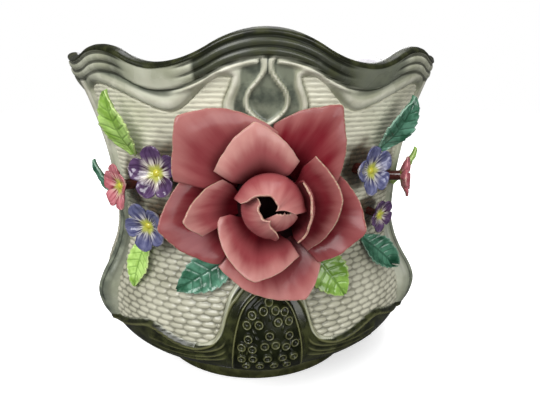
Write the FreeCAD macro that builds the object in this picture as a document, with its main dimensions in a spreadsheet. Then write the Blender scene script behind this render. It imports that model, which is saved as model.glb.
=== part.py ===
"""Cachepot of glazed earthenware with an applied rose, violets and leaves.

Lengths are in millimetres. The origin is the centre of the underside of the
foot, +Z is up and the rose faces -Y.
"""
import math
import os

import FreeCAD
import Part
import Sketcher

SIZES = (
    ("rim_radius", 125.0),
    ("crest_height", 225.0),
    ("dip_height", 210.0),
    ("shoulder_height", 220.0),
    ("notch_height", 214.0),
    ("waist_radius", 105.0),
    ("waist_height", 113.0),
    ("belly_radius", 118.0),
    ("belly_height", 55.0),
    ("foot_radius", 80.0),
    ("foot_height", 8.5),
    ("foot_step", 2.5),
    ("foot_ring_width", 10.0),
    ("recess_depth", 4.0),
    ("wall_thickness", 7.0),
    ("floor_thickness", 9.0),
    ("border_rise", 1.3),
    ("medallion_width", 46.0),
    ("medallion_rise", 6.0),
    ("medallion_bottom", 26.0),
    ("medallion_top", 90.0),
    ("strap_width", 17.0),
    ("strap_rise", 9.5),
    ("strap_bottom", 38.0),
    ("strap_top", 112.0),
    ("rose_drop", 89.0),
    ("rose_radius", 60.0),
    ("rose_depth", 48.0),
    ("petal_thickness", 2.4),
    ("petal_clearance", 0.5),
    ("seat_clearance", 0.12),
    ("violet_radius", 14.5),
    ("violet_thickness", 1.7),
    ("stalk_radius", 3.4),
    ("stalk_length", 34.0),
    ("leaf_length", 40.0),
    ("leaf_width", 18.0),
    ("leaf_thickness", 2.2),
)

# Plain shares and angles of the vessel
FACES = 3
DIP_ANGLE = 26.5
SHOULDER_ANGLE = 45.0
CORNER_ANGLE = 60.0
BELLY_SHARE = 0.45
FLARE_SHARE = 0.78
WAVE_SHARE = 0.5
LOWER_DROP_SHARE = 0.29
LOWER_FALL_SHARE = 0.54

# Sections of the boss on each face, from its foot to its top
BOSS_SHARES = {
    "height": (0.0, 0.22, 0.5, 0.78, 1.0),
    "width": (0.94, 1.0, 0.88, 0.6, 0.14),
    "rise": (0.55, 1.0, 1.0, 0.75, 0.2),
}

# Sections of the strap down each corner, from its foot to its top
STRAP_SHARES = {
    "height": (0.0, 0.24, 0.43, 0.68, 1.0),
    "width": (0.6, 0.85, 1.0, 0.85, 0.65),
    "rise": (0.26, 0.75, 1.0, 0.65, 0.15),
}
RIDGE_SIDE_SHARE = 0.45

# Right half of the outline of the sunken panel, from the middle below to the
# middle above: shares of the corner angle and of the size that a height goes by
PANEL_SHARES = (
    (0.0, "medallion_top", 1.08),
    (0.115, "medallion_top", 1.0),
    (0.175, "medallion_top", 0.87),
    (0.195, "medallion_top", 0.76),
    (0.24, "medallion_top", 0.63),
    (0.27, "belly_height", 0.94),
    (0.62, "belly_height", 0.99),
    (0.86, "belly_height", 1.1),
    (0.915, "belly_height", 1.3),
    (0.915, "dip_height", 0.925),
    (0.85, "dip_height", 0.957),
    (0.62, "dip_height", 0.924),
    (0.425, "dip_height", 0.889),
    (0.3, "dip_height", 0.926),
    (0.185, "dip_height", 0.974),
    (0.14, "dip_height", 0.948),
    (0.175, "dip_height", 0.895),
    (0.125, "dip_height", 0.833),
    (0.0, "dip_height", 0.785),
)

# Distances of the front and back ends of the cutting forms from the axis
NEAR_SHARE = 0.4
FAR_SHARE = 1.15

# Lean of the rose's axis up from the normal of the wall behind its upper half
ROSE_LEAN = 21.2

# Petals of the rose from the heart outwards. Angles are in degrees, clockwise
# from the top as the viewer sees them. The out and up columns are shares of
# the rose radius and of the rose depth, the rest shares of the petal itself.
PETALS = (
    # name, angle, half spread, base out, base up, edge out, edge up, cup, curl, corner, peak
    ("rose_inner_petal_1", 142.0, 60.0, 0.1, 0.46, 0.055, 0.9, 0.14, -0.02, 0.1, 0.0),
    ("rose_inner_petal_2", 236.0, 68.0, 0.145, 0.4, 0.075, 0.95, 0.19, -0.03, 0.12, 0.0),
    ("rose_inner_petal_3", 6.0, 76.0, 0.19, 0.325, 0.125, 0.97, 0.225, -0.04, 0.12, 0.0),
    ("rose_inner_petal_4", 92.0, 50.0, 0.235, 0.285, 0.36, 0.9, 0.14, -0.02, 0.16, 0.0),
    ("rose_middle_petal_1", -10.0, 46.0, 0.23, 0.27, 0.68, 0.73, 0.16, 0.1, 0.48, -0.05),
    ("rose_middle_petal_2", 203.0, 53.0, 0.23, 0.27, 0.64, 0.68, 0.16, 0.1, 0.56, -0.18),
    ("rose_middle_petal_3", 92.0, 48.0, 0.27, 0.21, 0.58, 0.64, 0.17, 0.04, 0.32, -0.1),
    ("rose_middle_petal_4", 280.0, 21.0, 0.25, 0.24, 0.68, 0.66, 0.1, 0.06, 0.42, -0.4),
    ("rose_outer_petal_1", -32.0, 42.0, 0.31, 0.175, 1.06, 0.64, -0.03, 0.04, 0.46, -0.28),
    ("rose_outer_petal_2", 40.0, 35.0, 0.33, 0.125, 1.02, 0.57, -0.03, 0.04, 0.54, -0.1),
    ("rose_outer_petal_3", 102.0, 38.0, 0.34, 0.06, 0.94, 0.43, 0.08, 0.06, 0.34, -0.05),
    ("rose_outer_petal_4", 170.0, 46.0, 0.37, 0.01, 0.98, 0.34, 0.08, 0.06, 0.34, -0.24),
    ("rose_outer_petal_5", 256.0, 38.0, 0.37, 0.05, 0.96, 0.36, 0.06, 0.06, 0.36, 0.07),
)
CORNER_POWER = 1.1
PETAL_STEPS = 8
PETAL_SECTIONS = 6
CORE_BASE_SHARE = 0.42
CORE_TOP_SHARE = 0.09
CORE_RISE_SHARE = 0.5
CORE_SINK_SHARE = 0.45

# Small flowers. Place on the wall from the middle of the rose, to the right
# and up in rose radii, then how far it stands off in flower radii, the way it
# faces and its size as a share of the violet radius.
FLOWERS = (
    # name, right share, up share, stand share, face angle, face lift, turn, size share
    ("violet_left_upper", -0.915, 0.313, 0.72, -24.0, 6.0, 8.0, 1.0),
    ("violet_left_lower", -1.085, -0.257, 0.62, -30.0, -4.0, 24.0, 0.98),
    ("blossom_left", -1.474, 0.103, 0.72, -52.0, 2.0, 0.0, 0.95),
    ("violet_right_upper", 0.961, 0.291, 0.6, 34.0, 2.0, 12.0, 0.98),
    ("violet_right_lower", 1.208, -0.234, 0.5, 34.0, -6.0, 30.0, 0.72),
    ("blossom_right", 1.526, 0.156, 0.84, 66.0, 4.0, 20.0, 0.92),
)
FLOWER_PETAL_COUNT = 5
FLOWER_EYE_SHARE = 0.34
FLOWER_ALONG_SHARES = (0.12, 0.42, 0.76, 1.0)
FLOWER_HALF_SHARES = (0.16, 0.36, 0.4, 0.16)
FLOWER_RISE_SHARES = (0.12, 0.2, 0.34, 0.42)
FLOWER_CUP_SHARE = 0.07

# Leaves. Place of the foot on the wall from the middle of the rose in rose
# radii, the way the midrib runs (0 is up, positive to the right), its lift off
# the wall and its size as shares.
LEAVES = (
    # name, right share, up share, run, lift, length share, width share
    ("leaf_upper_left", -1.355, 0.418, -8.0, 15.0, 1.0, 0.86),
    ("leaf_far_left", -1.78, -0.167, -16.0, 21.0, 0.8, 0.72),
    ("leaf_lower_left", -1.286, -0.485, 190.0, 9.0, 0.82, 0.98),
    ("leaf_bottom_left", -0.276, -0.504, 238.0, 5.0, 1.02, 1.12),
    ("leaf_bottom_right", 0.445, -0.512, 146.0, 7.0, 0.88, 1.24),
    ("leaf_right_curled", 1.103, -0.504, 125.0, 10.0, 0.84, 1.0),
    ("leaf_far_right", 1.76, -0.017, 14.0, 22.0, 0.72, 0.72),
    ("leaf_upper_right", 1.231, 0.441, 12.0, 15.0, 0.96, 0.92),
)
LEAF_ALONG_SHARES = (0.0, 0.28, 0.58, 0.84, 1.0)
LEAF_HALF_SHARES = (0.16, 0.46, 0.5, 0.28, 0.05)
LEAF_RISE_SHARES = (0.02, 0.06, 0.08, 0.07, 0.03)
LEAF_CUP_SHARE = 0.1
LEAF_SINK_SHARE = 0.9

document = FreeCAD.newDocument("cachepot")
sheet = document.addObject("Spreadsheet::Sheet", "Sheet")
for row, (alias, length) in enumerate(SIZES, start=1):
    sheet.set(f"A{row}", alias)
    sheet.set(f"B{row}", str(length))
    sheet.setAlias(f"B{row}", alias)
document.recompute()


def size(alias):
    """Value of one named size."""
    return float(sheet.get(alias))


def cell(alias):
    """Expression that reads one named size."""
    return f"Sheet.{alias}"


def value(expression):
    """Number that an expression stands for now."""
    return float(sheet.evalExpression(expression))


def origin_plane(body, role):
    """Origin plane or axis of a body by its role."""
    for feature in body.Origin.OriginFeatures:
        if feature.Role == role:
            return feature
    raise ValueError(role)


def new_body(name):
    """Empty body with a name."""
    return document.addObject("PartDesign::Body", name)


def new_sketch(body, name, role, offset="0"):
    """Sketch on an origin plane of the body, moved along its normal."""
    sketch = body.newObject("Sketcher::SketchObject", name)
    sketch.AttachmentSupport = (origin_plane(body, role), "")
    sketch.MapMode = "FlatFace"
    if offset != "0":
        sketch.setExpression("AttachmentOffset.Base.z", offset)
    return sketch


def pin(sketch, edge, end, across, along):
    """Hold one end of an edge at the place two expressions give."""
    for kind, axis, expression in (("DistanceX", -2, across), ("DistanceY", -1, along)):
        number = value(expression)
        if abs(number) < 1e-9:
            sketch.addConstraint(Sketcher.Constraint("PointOnObject", edge, end, axis))
            continue
        if number > 0:
            rule = Sketcher.Constraint(kind, -1, 1, edge, end, number)
            bound = expression
        else:
            rule = Sketcher.Constraint(kind, edge, end, -1, 1, -number)
            bound = f"0 - ({expression})"
        index = sketch.addConstraint(rule)
        sketch.setExpression(f"Constraints[{index}]", bound)


def draw(sketch, path):
    """Closed outline in a sketch.

    Each step of the path is (across, along) or (across, along, radius, side):
    the point it starts from, and for an arc to the next point its radius and
    the side it bulges to, 1 for left of the way and -1 for right.
    """
    points = []
    for step in path:
        points.append(FreeCAD.Vector(value(step[0]), value(step[1]), 0))
    ends = []
    for index, step in enumerate(path):
        first = points[index]
        last = points[(index + 1) % len(points)]
        if len(step) == 2:
            edge = sketch.addGeometry(Part.LineSegment(first, last), False)
            ends.append((edge, 1, 2))
            continue
        radius = value(step[2])
        chord = last - first
        half = chord.Length / 2
        sag = radius - math.sqrt(max(radius * radius - half * half, 0.0))
        normal = FreeCAD.Vector(-chord.y, chord.x, 0).normalize()
        middle = (first + last) * 0.5 + normal * (sag * step[3])
        edge = sketch.addGeometry(Part.Arc(first, middle, last), False)
        forward = sketch.getPoint(edge, 1).distanceToPoint(first) < half * 0.5
        ends.append((edge, 1, 2) if forward else (edge, 2, 1))
    for index, step in enumerate(path):
        edge, start, end = ends[index]
        after = ends[(index + 1) % len(ends)]
        sketch.addConstraint(Sketcher.Constraint("Coincident", edge, end, after[0], after[1]))
        pin(sketch, edge, start, step[0], step[1])
        if len(step) > 2:
            rule = sketch.addConstraint(Sketcher.Constraint("Radius", edge, value(step[2])))
            sketch.setExpression(f"Constraints[{rule}]", step[2])


def ogee(start, end, share, upright):
    """Steps of two arcs that meet tangent, square to the given axis at both ends.

    Args:
        start: expressions of the first point.
        end: expressions of the last point, which the steps leave to the caller.
        share: part of the way to the point where the arcs meet.
        upright: True where both ends run along the second axis of the sketch.

    Returns:
        Two steps for draw().
    """
    across = f"(({end[0]}) - ({start[0]}))"
    along = f"(({end[1]}) - ({start[1]}))"
    if upright:
        total = f"(({across}^2 + {along}^2) / (2 * abs({across})))"
        side = -1 if value(across) * value(along) > 0 else 1
    else:
        total = f"(({across}^2 + {along}^2) / (2 * abs({along})))"
        side = 1 if value(across) * value(along) > 0 else -1
    meet = (f"(({start[0]}) + {share} * {across})", f"(({start[1]}) + {share} * {along})")
    first = (start[0], start[1], f"{share} * {total}", -side)
    second = (meet[0], meet[1], f"(1 - {share}) * {total}", side)
    return [first, second]


def wall_points(inset):
    """Corner points of the wall profile, drawn in by an expression."""
    return {
        "rim": (f"{cell('rim_radius')} - {inset}", cell("crest_height")),
        "waist": (f"{cell('waist_radius')} - {inset}", cell("waist_height")),
        "belly": (f"{cell('belly_radius')} - {inset}", cell("belly_height")),
        "neck": (f"{cell('foot_radius')} - {cell('foot_step')} - {inset}", cell("foot_height")),
    }


def wall_steps(inset, floor):
    """Steps of the wall from low on the belly up to the rim."""
    points = wall_points(inset)
    belly, neck = points["belly"], points["neck"]
    drop = f"(({belly[0]}) - ({neck[0]}))"
    fall = f"(({belly[1]}) - ({floor}))"
    turn = (f"(({belly[0]}) - {LOWER_DROP_SHARE} * {drop})", f"(({belly[1]}) - {LOWER_FALL_SHARE} * {fall})")
    deep = f"({LOWER_DROP_SHARE} * {drop})"
    tall = f"({LOWER_FALL_SHARE} * {fall})"
    steps = [(neck[0], floor)]
    steps.append((turn[0], turn[1], f"(({deep}^2 + {tall}^2) / (2 * {deep}))", -1))
    steps += ogee(belly, points["waist"], BELLY_SHARE, True)
    steps += ogee(points["waist"], points["rim"], FLARE_SHARE, True)
    steps.append(points["rim"])
    return steps


def arc_drop(radius, run):
    """Depth of an arc of the radius at a run from its square end."""
    return radius - math.sqrt(max(radius * radius - run * run, 0.0))


def ogee_radius(height, low, high, share):
    """Radius of the wall at a height on an ogee between two (radius, height) points."""
    across = high[0] - low[0]
    along = high[1] - low[1]
    total = (across * across + along * along) / (2 * abs(across))
    sign = 1 if across > 0 else -1
    if height - low[1] < share * along:
        return low[0] + sign * arc_drop(share * total, height - low[1])
    return high[0] - sign * arc_drop((1 - share) * total, high[1] - height)


def wall_radius(height):
    """Outer radius of the wall at a height."""
    belly = (size("belly_radius"), size("belly_height"))
    waist = (size("waist_radius"), size("waist_height"))
    rim = (size("rim_radius"), size("crest_height"))
    neck = (size("foot_radius") - size("foot_step"), size("foot_height"))
    if height >= waist[1]:
        return ogee_radius(min(height, rim[1]), waist, rim, FLARE_SHARE)
    if height >= belly[1]:
        return ogee_radius(height, belly, waist, BELLY_SHARE)
    drop = LOWER_DROP_SHARE * (belly[0] - neck[0])
    fall = LOWER_FALL_SHARE * (belly[1] - neck[1])
    if height >= belly[1] - fall:
        return belly[0] - arc_drop((drop * drop + fall * fall) / (2 * drop), belly[1] - height)
    turn = (belly[0] - drop, belly[1] - fall)
    part = (height - neck[1]) / (turn[1] - neck[1])
    return neck[0] + part * (turn[0] - neck[0])


def add_ridge(body, name, turn, shares):
    """Raised ridge on the wall, lofted through its sections and repeated on each face.

    Args:
        body: body that takes the ridge.
        name: start of the names of its sizes.
        turn: angle of its middle from the middle of the face.
        shares: height, width and rise shares of its sections.
    """
    sections = []
    span = f"({cell(name + '_top')} - {cell(name + '_bottom')})"
    for index, share in enumerate(shares["height"]):
        level = f"{cell(name + '_bottom')} + {share} * {span}"
        sketch = new_sketch(body, f"{body.Name}_{name}_{index}", "XY_Plane", level)
        spin = FreeCAD.Rotation(FreeCAD.Vector(0, 0, 1), turn)
        sketch.AttachmentOffset = FreeCAD.Placement(FreeCAD.Vector(0, 0, value(level)), spin)
        half = f"({cell(name + '_width')} / 2 * {shares['width'][index]})"
        rise = f"({cell(name + '_rise')} * {shares['rise'][index]})"
        radius = wall_radius(value(level))
        side = math.sqrt(radius * radius - value(half) ** 2)
        near = f"({side} + {RIDGE_SIDE_SHARE} * {rise})"
        sag = f"({radius - side} + (1 - {RIDGE_SIDE_SHARE}) * {rise})"
        deep = f"({radius} - {cell('wall_thickness')} / 2)"
        curve = f"(({half}^2 + {sag}^2) / (2 * {sag}))"
        draw(sketch, [
            (f"0 - {half}", f"0 - {near}", curve, -1),
            (half, f"0 - {near}"),
            (half, f"0 - {deep}"),
            (f"0 - {half}", f"0 - {deep}"),
        ])
        sections.append(sketch)
    ridge = body.newObject("PartDesign::AdditiveLoft", f"{body.Name}_{name}")
    ridge.Profile = sections[0]
    ridge.Sections = sections[1:]
    ring = body.newObject("PartDesign::PolarPattern", f"{body.Name}_{name}_ring")
    ring.Originals = [ridge]
    ring.Axis = (origin_plane(body, "Z_Axis"), [""])
    ring.Angle = 360
    ring.Occurrences = FACES
    body.Tip = ring
    document.recompute()


def wedge(body, name, kind, outline):
    """Form whose sides all run to the axis of the pot, repeated on each face.

    Args:
        body: body that takes the form.
        name: start of the names of its sketches.
        kind: type of the loft.
        outline: function that gives the steps of a sketch at a distance from the axis.
    """
    ends = []
    for index, share in enumerate((NEAR_SHARE, FAR_SHARE)):
        distance = f"({share} * {cell('rim_radius')})"
        sketch = new_sketch(body, f"{name}_{index}", "XZ_Plane", distance)
        draw(sketch, outline(distance))
        ends.append(sketch)
    loft = body.newObject(kind, name)
    loft.Profile = ends[0]
    loft.Sections = ends[1:]
    loft.Ruled = True
    ring = body.newObject("PartDesign::PolarPattern", f"{name}_ring")
    ring.Originals = [loft]
    ring.Axis = (origin_plane(body, "Z_Axis"), [""])
    ring.Angle = 360
    ring.Occurrences = FACES
    body.Tip = ring
    document.recompute()


def panel_outline(distance):
    """Steps of the outline of a panel on a plane at a distance from the axis."""
    right = []
    for angle_share, alias, height_share in PANEL_SHARES:
        across = f"({distance} * tan({angle_share * CORNER_ANGLE} deg))"
        right.append((across, f"({cell(alias)} * {height_share})"))
    left = [(f"(0 - {across})", height) for across, height in right[-2:0:-1]]
    return right + left


def wave_outline(distance):
    """Steps of the outline above the rim of one face on a plane at a distance from the axis."""
    points = []
    for angle, alias in (
        (-CORNER_ANGLE, "notch_height"),
        (-SHOULDER_ANGLE, "shoulder_height"),
        (-DIP_ANGLE, "dip_height"),
        (0.0, "crest_height"),
        (DIP_ANGLE, "dip_height"),
        (SHOULDER_ANGLE, "shoulder_height"),
        (CORNER_ANGLE, "notch_height"),
    ):
        points.append((f"({distance} * tan({angle} deg))", cell(alias)))
    steps = []
    for start, end in zip(points, points[1:]):
        steps += ogee(start, end, WAVE_SHARE, False)
    over = f"({cell('crest_height')} + {cell('wall_thickness')})"
    return steps + [points[-1], (points[-1][0], over), (points[0][0], over)]


def make_panels(name, clearance):
    """Cutting form of the sunken panels: what lies over the wall and a clearance inside their outlines."""
    outlines = new_body(f"{name}_outlines")
    wedge(outlines, f"{name}_outline", "PartDesign::AdditiveLoft", panel_outline)
    body = new_body(f"{name}_panels")
    sketch = new_sketch(body, f"{name}_panel_section", "XZ_Plane")
    outside = f"({cell('rim_radius')} + {cell('wall_thickness')})"
    steps = wall_steps(f"(0 - {clearance})", cell("foot_height"))
    steps += [(outside, cell("crest_height")), (outside, cell("foot_height"))]
    draw(sketch, steps)
    turned = body.newObject("PartDesign::Revolution", f"{name}_panel_turned")
    turned.Profile = sketch
    turned.ReferenceAxis = (sketch, ["V_Axis"])
    turned.Angle = 360
    body.Tip = turned
    document.recompute()
    common = body.newObject("PartDesign::Boolean", f"{name}_panel_common")
    common.Type = "Common"
    common.addObjects([outlines])
    body.Tip = common
    document.recompute()
    return body


def make_form(name, clearance):
    """Solid of the outside of the vessel: its borders, sunken panels and medallions.

    Args:
        name: name of the body.
        clearance: expression of the distance that its wall stands out all over.
    """
    panels = make_panels(name, clearance)
    body = new_body(name)
    sketch = new_sketch(body, f"{name}_section", "XZ_Plane")
    steps = [("0", "0"), (cell("foot_radius"), "0"), (cell("foot_radius"), cell("foot_height"))]
    steps += wall_steps(f"(0 - {cell('border_rise')} - {clearance})", cell("foot_height"))
    steps.append(("0", cell("crest_height")))
    draw(sketch, steps)
    turned = body.newObject("PartDesign::Revolution", f"{name}_turned")
    turned.Profile = sketch
    turned.ReferenceAxis = (sketch, ["V_Axis"])
    turned.Angle = 360
    body.Tip = turned
    document.recompute()
    sunken = body.newObject("PartDesign::Boolean", f"{name}_sunken")
    sunken.Type = "Cut"
    sunken.addObjects([panels])
    body.Tip = sunken
    document.recompute()
    add_ridge(body, "medallion", 0.0, BOSS_SHARES)
    return body


def make_pot():
    """Vessel: straps down the corners, hollow inside, recessed foot and the waved rim."""
    body = make_form("pot_body", "0")
    add_ridge(body, "strap", CORNER_ANGLE, STRAP_SHARES)
    inside = new_sketch(body, "inside_section", "XZ_Plane")
    floor = f"{cell('recess_depth')} + {cell('floor_thickness')}"
    steps = [("0", floor)]
    steps += wall_steps(cell("wall_thickness"), floor)
    steps.append(("0", cell("crest_height")))
    draw(inside, steps)
    hollow = body.newObject("PartDesign::Groove", "hollow")
    hollow.Profile = inside
    hollow.ReferenceAxis = (inside, ["V_Axis"])
    hollow.Angle = 360
    body.Tip = hollow

    under = new_sketch(body, "recess_section", "XY_Plane")
    circle = under.addGeometry(Part.Circle(FreeCAD.Vector(0, 0, 0), FreeCAD.Vector(0, 0, 1), size("foot_radius")))
    under.addConstraint(Sketcher.Constraint("Coincident", circle, 3, -1, 1))
    rule = under.addConstraint(Sketcher.Constraint("Radius", circle, size("foot_radius")))
    under.setExpression(f"Constraints[{rule}]", f"{cell('foot_radius')} - {cell('foot_ring_width')}")
    recess = body.newObject("PartDesign::Pocket", "recess")
    recess.Profile = under
    recess.Reversed = True
    recess.setExpression("Length", cell("recess_depth"))
    body.Tip = recess

    wedge(body, "rim_wave", "PartDesign::SubtractiveLoft", wave_outline)
    return body


def rose_height():
    """Height of the middle of the rose above the ground."""
    return size("crest_height") - size("rose_drop")


def outer_radius(across, height):
    """Outer radius of the front face at a height, with its medallion."""
    span = size("medallion_top") - size("medallion_bottom")
    share = (height - size("medallion_bottom")) / span
    if not 0 <= share <= 1:
        return wall_radius(height)
    levels = BOSS_SHARES["height"]
    index = max(step for step in range(len(levels) - 1) if levels[step] <= share)
    part = (share - levels[index]) / (levels[index + 1] - levels[index])
    width, rise = (
        row[index] + part * (row[index + 1] - row[index]) for row in (BOSS_SHARES["width"], BOSS_SHARES["rise"])
    )
    if abs(across) > width * size("medallion_width") / 2:
        return wall_radius(height)
    return wall_radius(height) + rise * size("medallion_rise")


def wall_frame(right_share, up_share, lift=0.0):
    """Placement on the wall, so many rose radii to the right of and above the rose.

    Local Z is out of the wall and local X is up along it.
    """
    height = rose_height() + up_share * size("rose_radius")
    turn = right_share * size("rose_radius") / wall_radius(height)
    step = size("wall_thickness") / 4
    slope = (wall_radius(height + step) - wall_radius(height - step)) / (2 * step)
    outward = FreeCAD.Vector(math.sin(turn), -math.cos(turn), 0)
    upward = (outward * slope + FreeCAD.Vector(0, 0, 1)).normalize()
    sideways = FreeCAD.Vector(0, 0, 1).cross(outward).normalize()
    normal = sideways.cross(upward).normalize()
    spot = outward * wall_radius(height) + FreeCAD.Vector(0, 0, height) + normal * lift
    matrix = FreeCAD.Rotation(upward, normal.cross(upward), normal, "ZXY")
    return FreeCAD.Placement(spot, matrix)


def blade(body, name, shares, length, half, rise, cup, thick):
    """Curved blade along local X, lofted through bowed sections.

    Args:
        body: body that takes the loft.
        name: start of the names of its sketches.
        shares: columns of along, half width and rise shares.
        length: expression that along shares and rise shares go by.
        half: expression that half width shares go by.
        rise: expression of the height of the blade at its root.
        cup: share of the half width that a section bows up by.
        thick: expression of the thickness.

    Returns:
        The loft.
    """
    sections = []
    for index, (along, wide, up) in enumerate(zip(*shares)):
        sketch = new_sketch(body, f"{name}_{index}", "YZ_Plane", f"{length} * {along}")
        side = f"({half} * {wide})"
        low = f"({rise} + {length} * {up})"
        high = f"({low} + {thick})"
        bow = f"({side} * (1 + {cup}^2) / (2 * {cup}))"
        draw(sketch, [
            (f"0 - {side}", low, bow, 1),
            (side, low),
            (side, high, bow, -1),
            (f"0 - {side}", high),
        ])
        sections.append(sketch)
    loft = body.newObject("PartDesign::AdditiveLoft", f"{name}_loft")
    loft.Profile = sections[0]
    loft.Sections = sections[1:]
    return loft


def seated(label, piece, base):
    """Piece with what would lie inside another one cut away."""
    cut = document.addObject("Part::Cut", label)
    cut.Base = piece
    cut.Tool = base
    cut.Label = label
    return cut


def make_leaf(row, form):
    """One leaf with its foot luted to the wall."""
    name, right_share, up_share, run, lift, length_share, width_share = row
    body = new_body(f"{name}_blade")
    blade(
        body,
        f"{name}_section",
        (LEAF_ALONG_SHARES, LEAF_HALF_SHARES, LEAF_RISE_SHARES),
        f"({cell('leaf_length')} * {length_share})",
        f"({cell('leaf_width')} * {width_share})",
        cell("leaf_thickness"),
        LEAF_CUP_SHARE,
        cell("leaf_thickness"),
    )
    frame = wall_frame(right_share, up_share, -LEAF_SINK_SHARE * size("leaf_thickness"))
    spin = FreeCAD.Rotation(FreeCAD.Vector(0, 0, 1), -run)
    tip_up = FreeCAD.Rotation(FreeCAD.Vector(0, 1, 0), -lift)
    sink = FreeCAD.Placement(FreeCAD.Vector(0, 0, -size("leaf_thickness")), FreeCAD.Rotation())
    body.Placement = frame.multiply(FreeCAD.Placement(FreeCAD.Vector(), spin.multiply(tip_up))).multiply(sink)
    return seated(name, body, form)


def make_flower(row, form):
    """One small flower and the stalk that carries it."""
    name, right_share, up_share, stand_share, face, face_lift, turn, size_share = row
    radius = f"({cell('violet_radius')} * {size_share})"
    body = new_body(name)
    eye = new_sketch(body, f"{name}_eye", "XY_Plane")
    circle = eye.addGeometry(Part.Circle(FreeCAD.Vector(0, 0, 0), FreeCAD.Vector(0, 0, 1), value(radius)))
    eye.addConstraint(Sketcher.Constraint("Coincident", circle, 3, -1, 1))
    rule = eye.addConstraint(Sketcher.Constraint("Radius", circle, value(radius)))
    eye.setExpression(f"Constraints[{rule}]", f"{radius} * {FLOWER_EYE_SHARE}")
    button = body.newObject("PartDesign::Pad", f"{name}_button")
    button.Profile = eye
    button.setExpression("Length", f"2 * {cell('violet_thickness')}")
    petal = blade(
        body,
        f"{name}_petal",
        (FLOWER_ALONG_SHARES, FLOWER_HALF_SHARES, FLOWER_RISE_SHARES),
        radius,
        radius,
        "0",
        FLOWER_CUP_SHARE,
        cell("violet_thickness"),
    )
    ring = body.newObject("PartDesign::PolarPattern", f"{name}_ring")
    ring.Originals = [petal]
    ring.Axis = (origin_plane(body, "Z_Axis"), [""])
    ring.Angle = 360
    ring.Occurrences = FLOWER_PETAL_COUNT
    body.Tip = ring
    body.Label = name
    around = math.radians(face)
    over = math.radians(face_lift)
    facing = FreeCAD.Vector(math.sin(around) * math.cos(over), -math.cos(around) * math.cos(over), math.sin(over))
    level = FreeCAD.Vector(0, 0, 1).cross(facing).normalize()
    spot = wall_frame(right_share, up_share, stand_share * value(radius)).Base
    look = FreeCAD.Rotation(level, facing.cross(level), facing, "ZXY")
    spin = FreeCAD.Rotation(FreeCAD.Vector(0, 0, 1), turn)
    body.Placement = FreeCAD.Placement(spot, look.multiply(spin))
    stem = document.addObject("Part::Cylinder", f"{name}_stem")
    stem.setExpression("Radius", f"{cell('stalk_radius')} * {size_share}")
    stem.setExpression("Height", cell("stalk_length"))
    back = FreeCAD.Rotation(FreeCAD.Vector(1, 0, 0), 180)
    stem.Placement = FreeCAD.Placement(spot, look.multiply(back))
    return [body, seated(f"{name}_stalk", stem, form)]


def rose_frame(stand=0.0):
    """Placement of the rose, moved out along its axis: local Z along the axis and local Y up."""
    height, radius = rose_height(), size("rose_radius")
    flare = math.atan((wall_radius(height + radius) - wall_radius(height)) / radius)
    tilt = math.radians(ROSE_LEAN) - flare
    axis = FreeCAD.Vector(0, -math.cos(tilt), math.sin(tilt))
    spot = FreeCAD.Vector(0, -wall_radius(height), height) + axis * stand
    side = FreeCAD.Vector(1, 0, 0)
    return FreeCAD.Placement(spot, FreeCAD.Rotation(side, axis.cross(side), axis, "ZXY"))


def rose_stand():
    """How far the rose has to stand out for its petals to clear the wall."""
    frame = rose_frame()
    broad = size("rose_radius") * CORE_BASE_SHARE
    gap = size("rose_depth")
    for row in PETALS:
        for step in range(13):
            across = step / 6 - 1
            turn = math.radians(row[1] + row[2] * across)
            for point in petal_line(row, across):
                if point.x < broad:
                    continue
                back = point.y - size("petal_thickness") / 2
                spot = frame.multVec(FreeCAD.Vector(point.x * math.sin(turn), point.x * math.cos(turn), back))
                gap = min(gap, math.hypot(spot.x, spot.y) - outer_radius(spot.x, spot.z))
    return max(0.0, size("petal_clearance") - gap)


def make_core(form, stand):
    """Clay core of the rose, turned about its axis and seated on the wall."""
    body = new_body("rose_core_turned")
    sketch = new_sketch(body, "rose_core_section", "XZ_Plane")
    low = f"(0 - {cell('rose_depth')} * {CORE_SINK_SHARE} - {stand})"
    broad = f"({cell('rose_radius')} * {CORE_BASE_SHARE})"
    draw(sketch, [
        ("0", low),
        (broad, low),
        (broad, "0"),
        (f"{cell('rose_radius')} * {CORE_TOP_SHARE}", f"{cell('rose_depth')} * {CORE_RISE_SHARE}"),
        ("0", f"{cell('rose_depth')} * {CORE_RISE_SHARE}"),
    ])
    turned = body.newObject("PartDesign::Revolution", "rose_core_solid")
    turned.Profile = sketch
    turned.ReferenceAxis = (sketch, ["V_Axis"])
    turned.Angle = 360
    body.Tip = turned
    body.Placement = rose_frame(stand)
    return body, seated("rose_core", body, form)


def petal_line(row, across):
    """Points of the middle line of one petal, out from the axis of the rose and up along it.

    The line runs from the base to the edge, bows out by the cup and rolls back
    near the edge by the curl.
    """
    _, _, _, base_out, base_up, edge_out, edge_up, cup, curl, corner, peak = row
    radius, depth = size("rose_radius"), size("rose_depth")
    start = FreeCAD.Vector(base_out * radius, base_up * depth, 0)
    chord = FreeCAD.Vector(edge_out * radius, edge_up * depth, 0) - start
    normal = FreeCAD.Vector(chord.y, -chord.x, 0).normalize()
    reach = 1 - corner * abs(across - peak) ** CORNER_POWER
    line = []
    for index in range(PETAL_STEPS + 1):
        along = reach * index / PETAL_STEPS
        bow = 4 * cup * along * (1 - along) * chord.Length
        roll = curl * along ** 5 * chord.Length
        line.append(start + chord * along + normal * (bow + roll))
    return line


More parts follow.
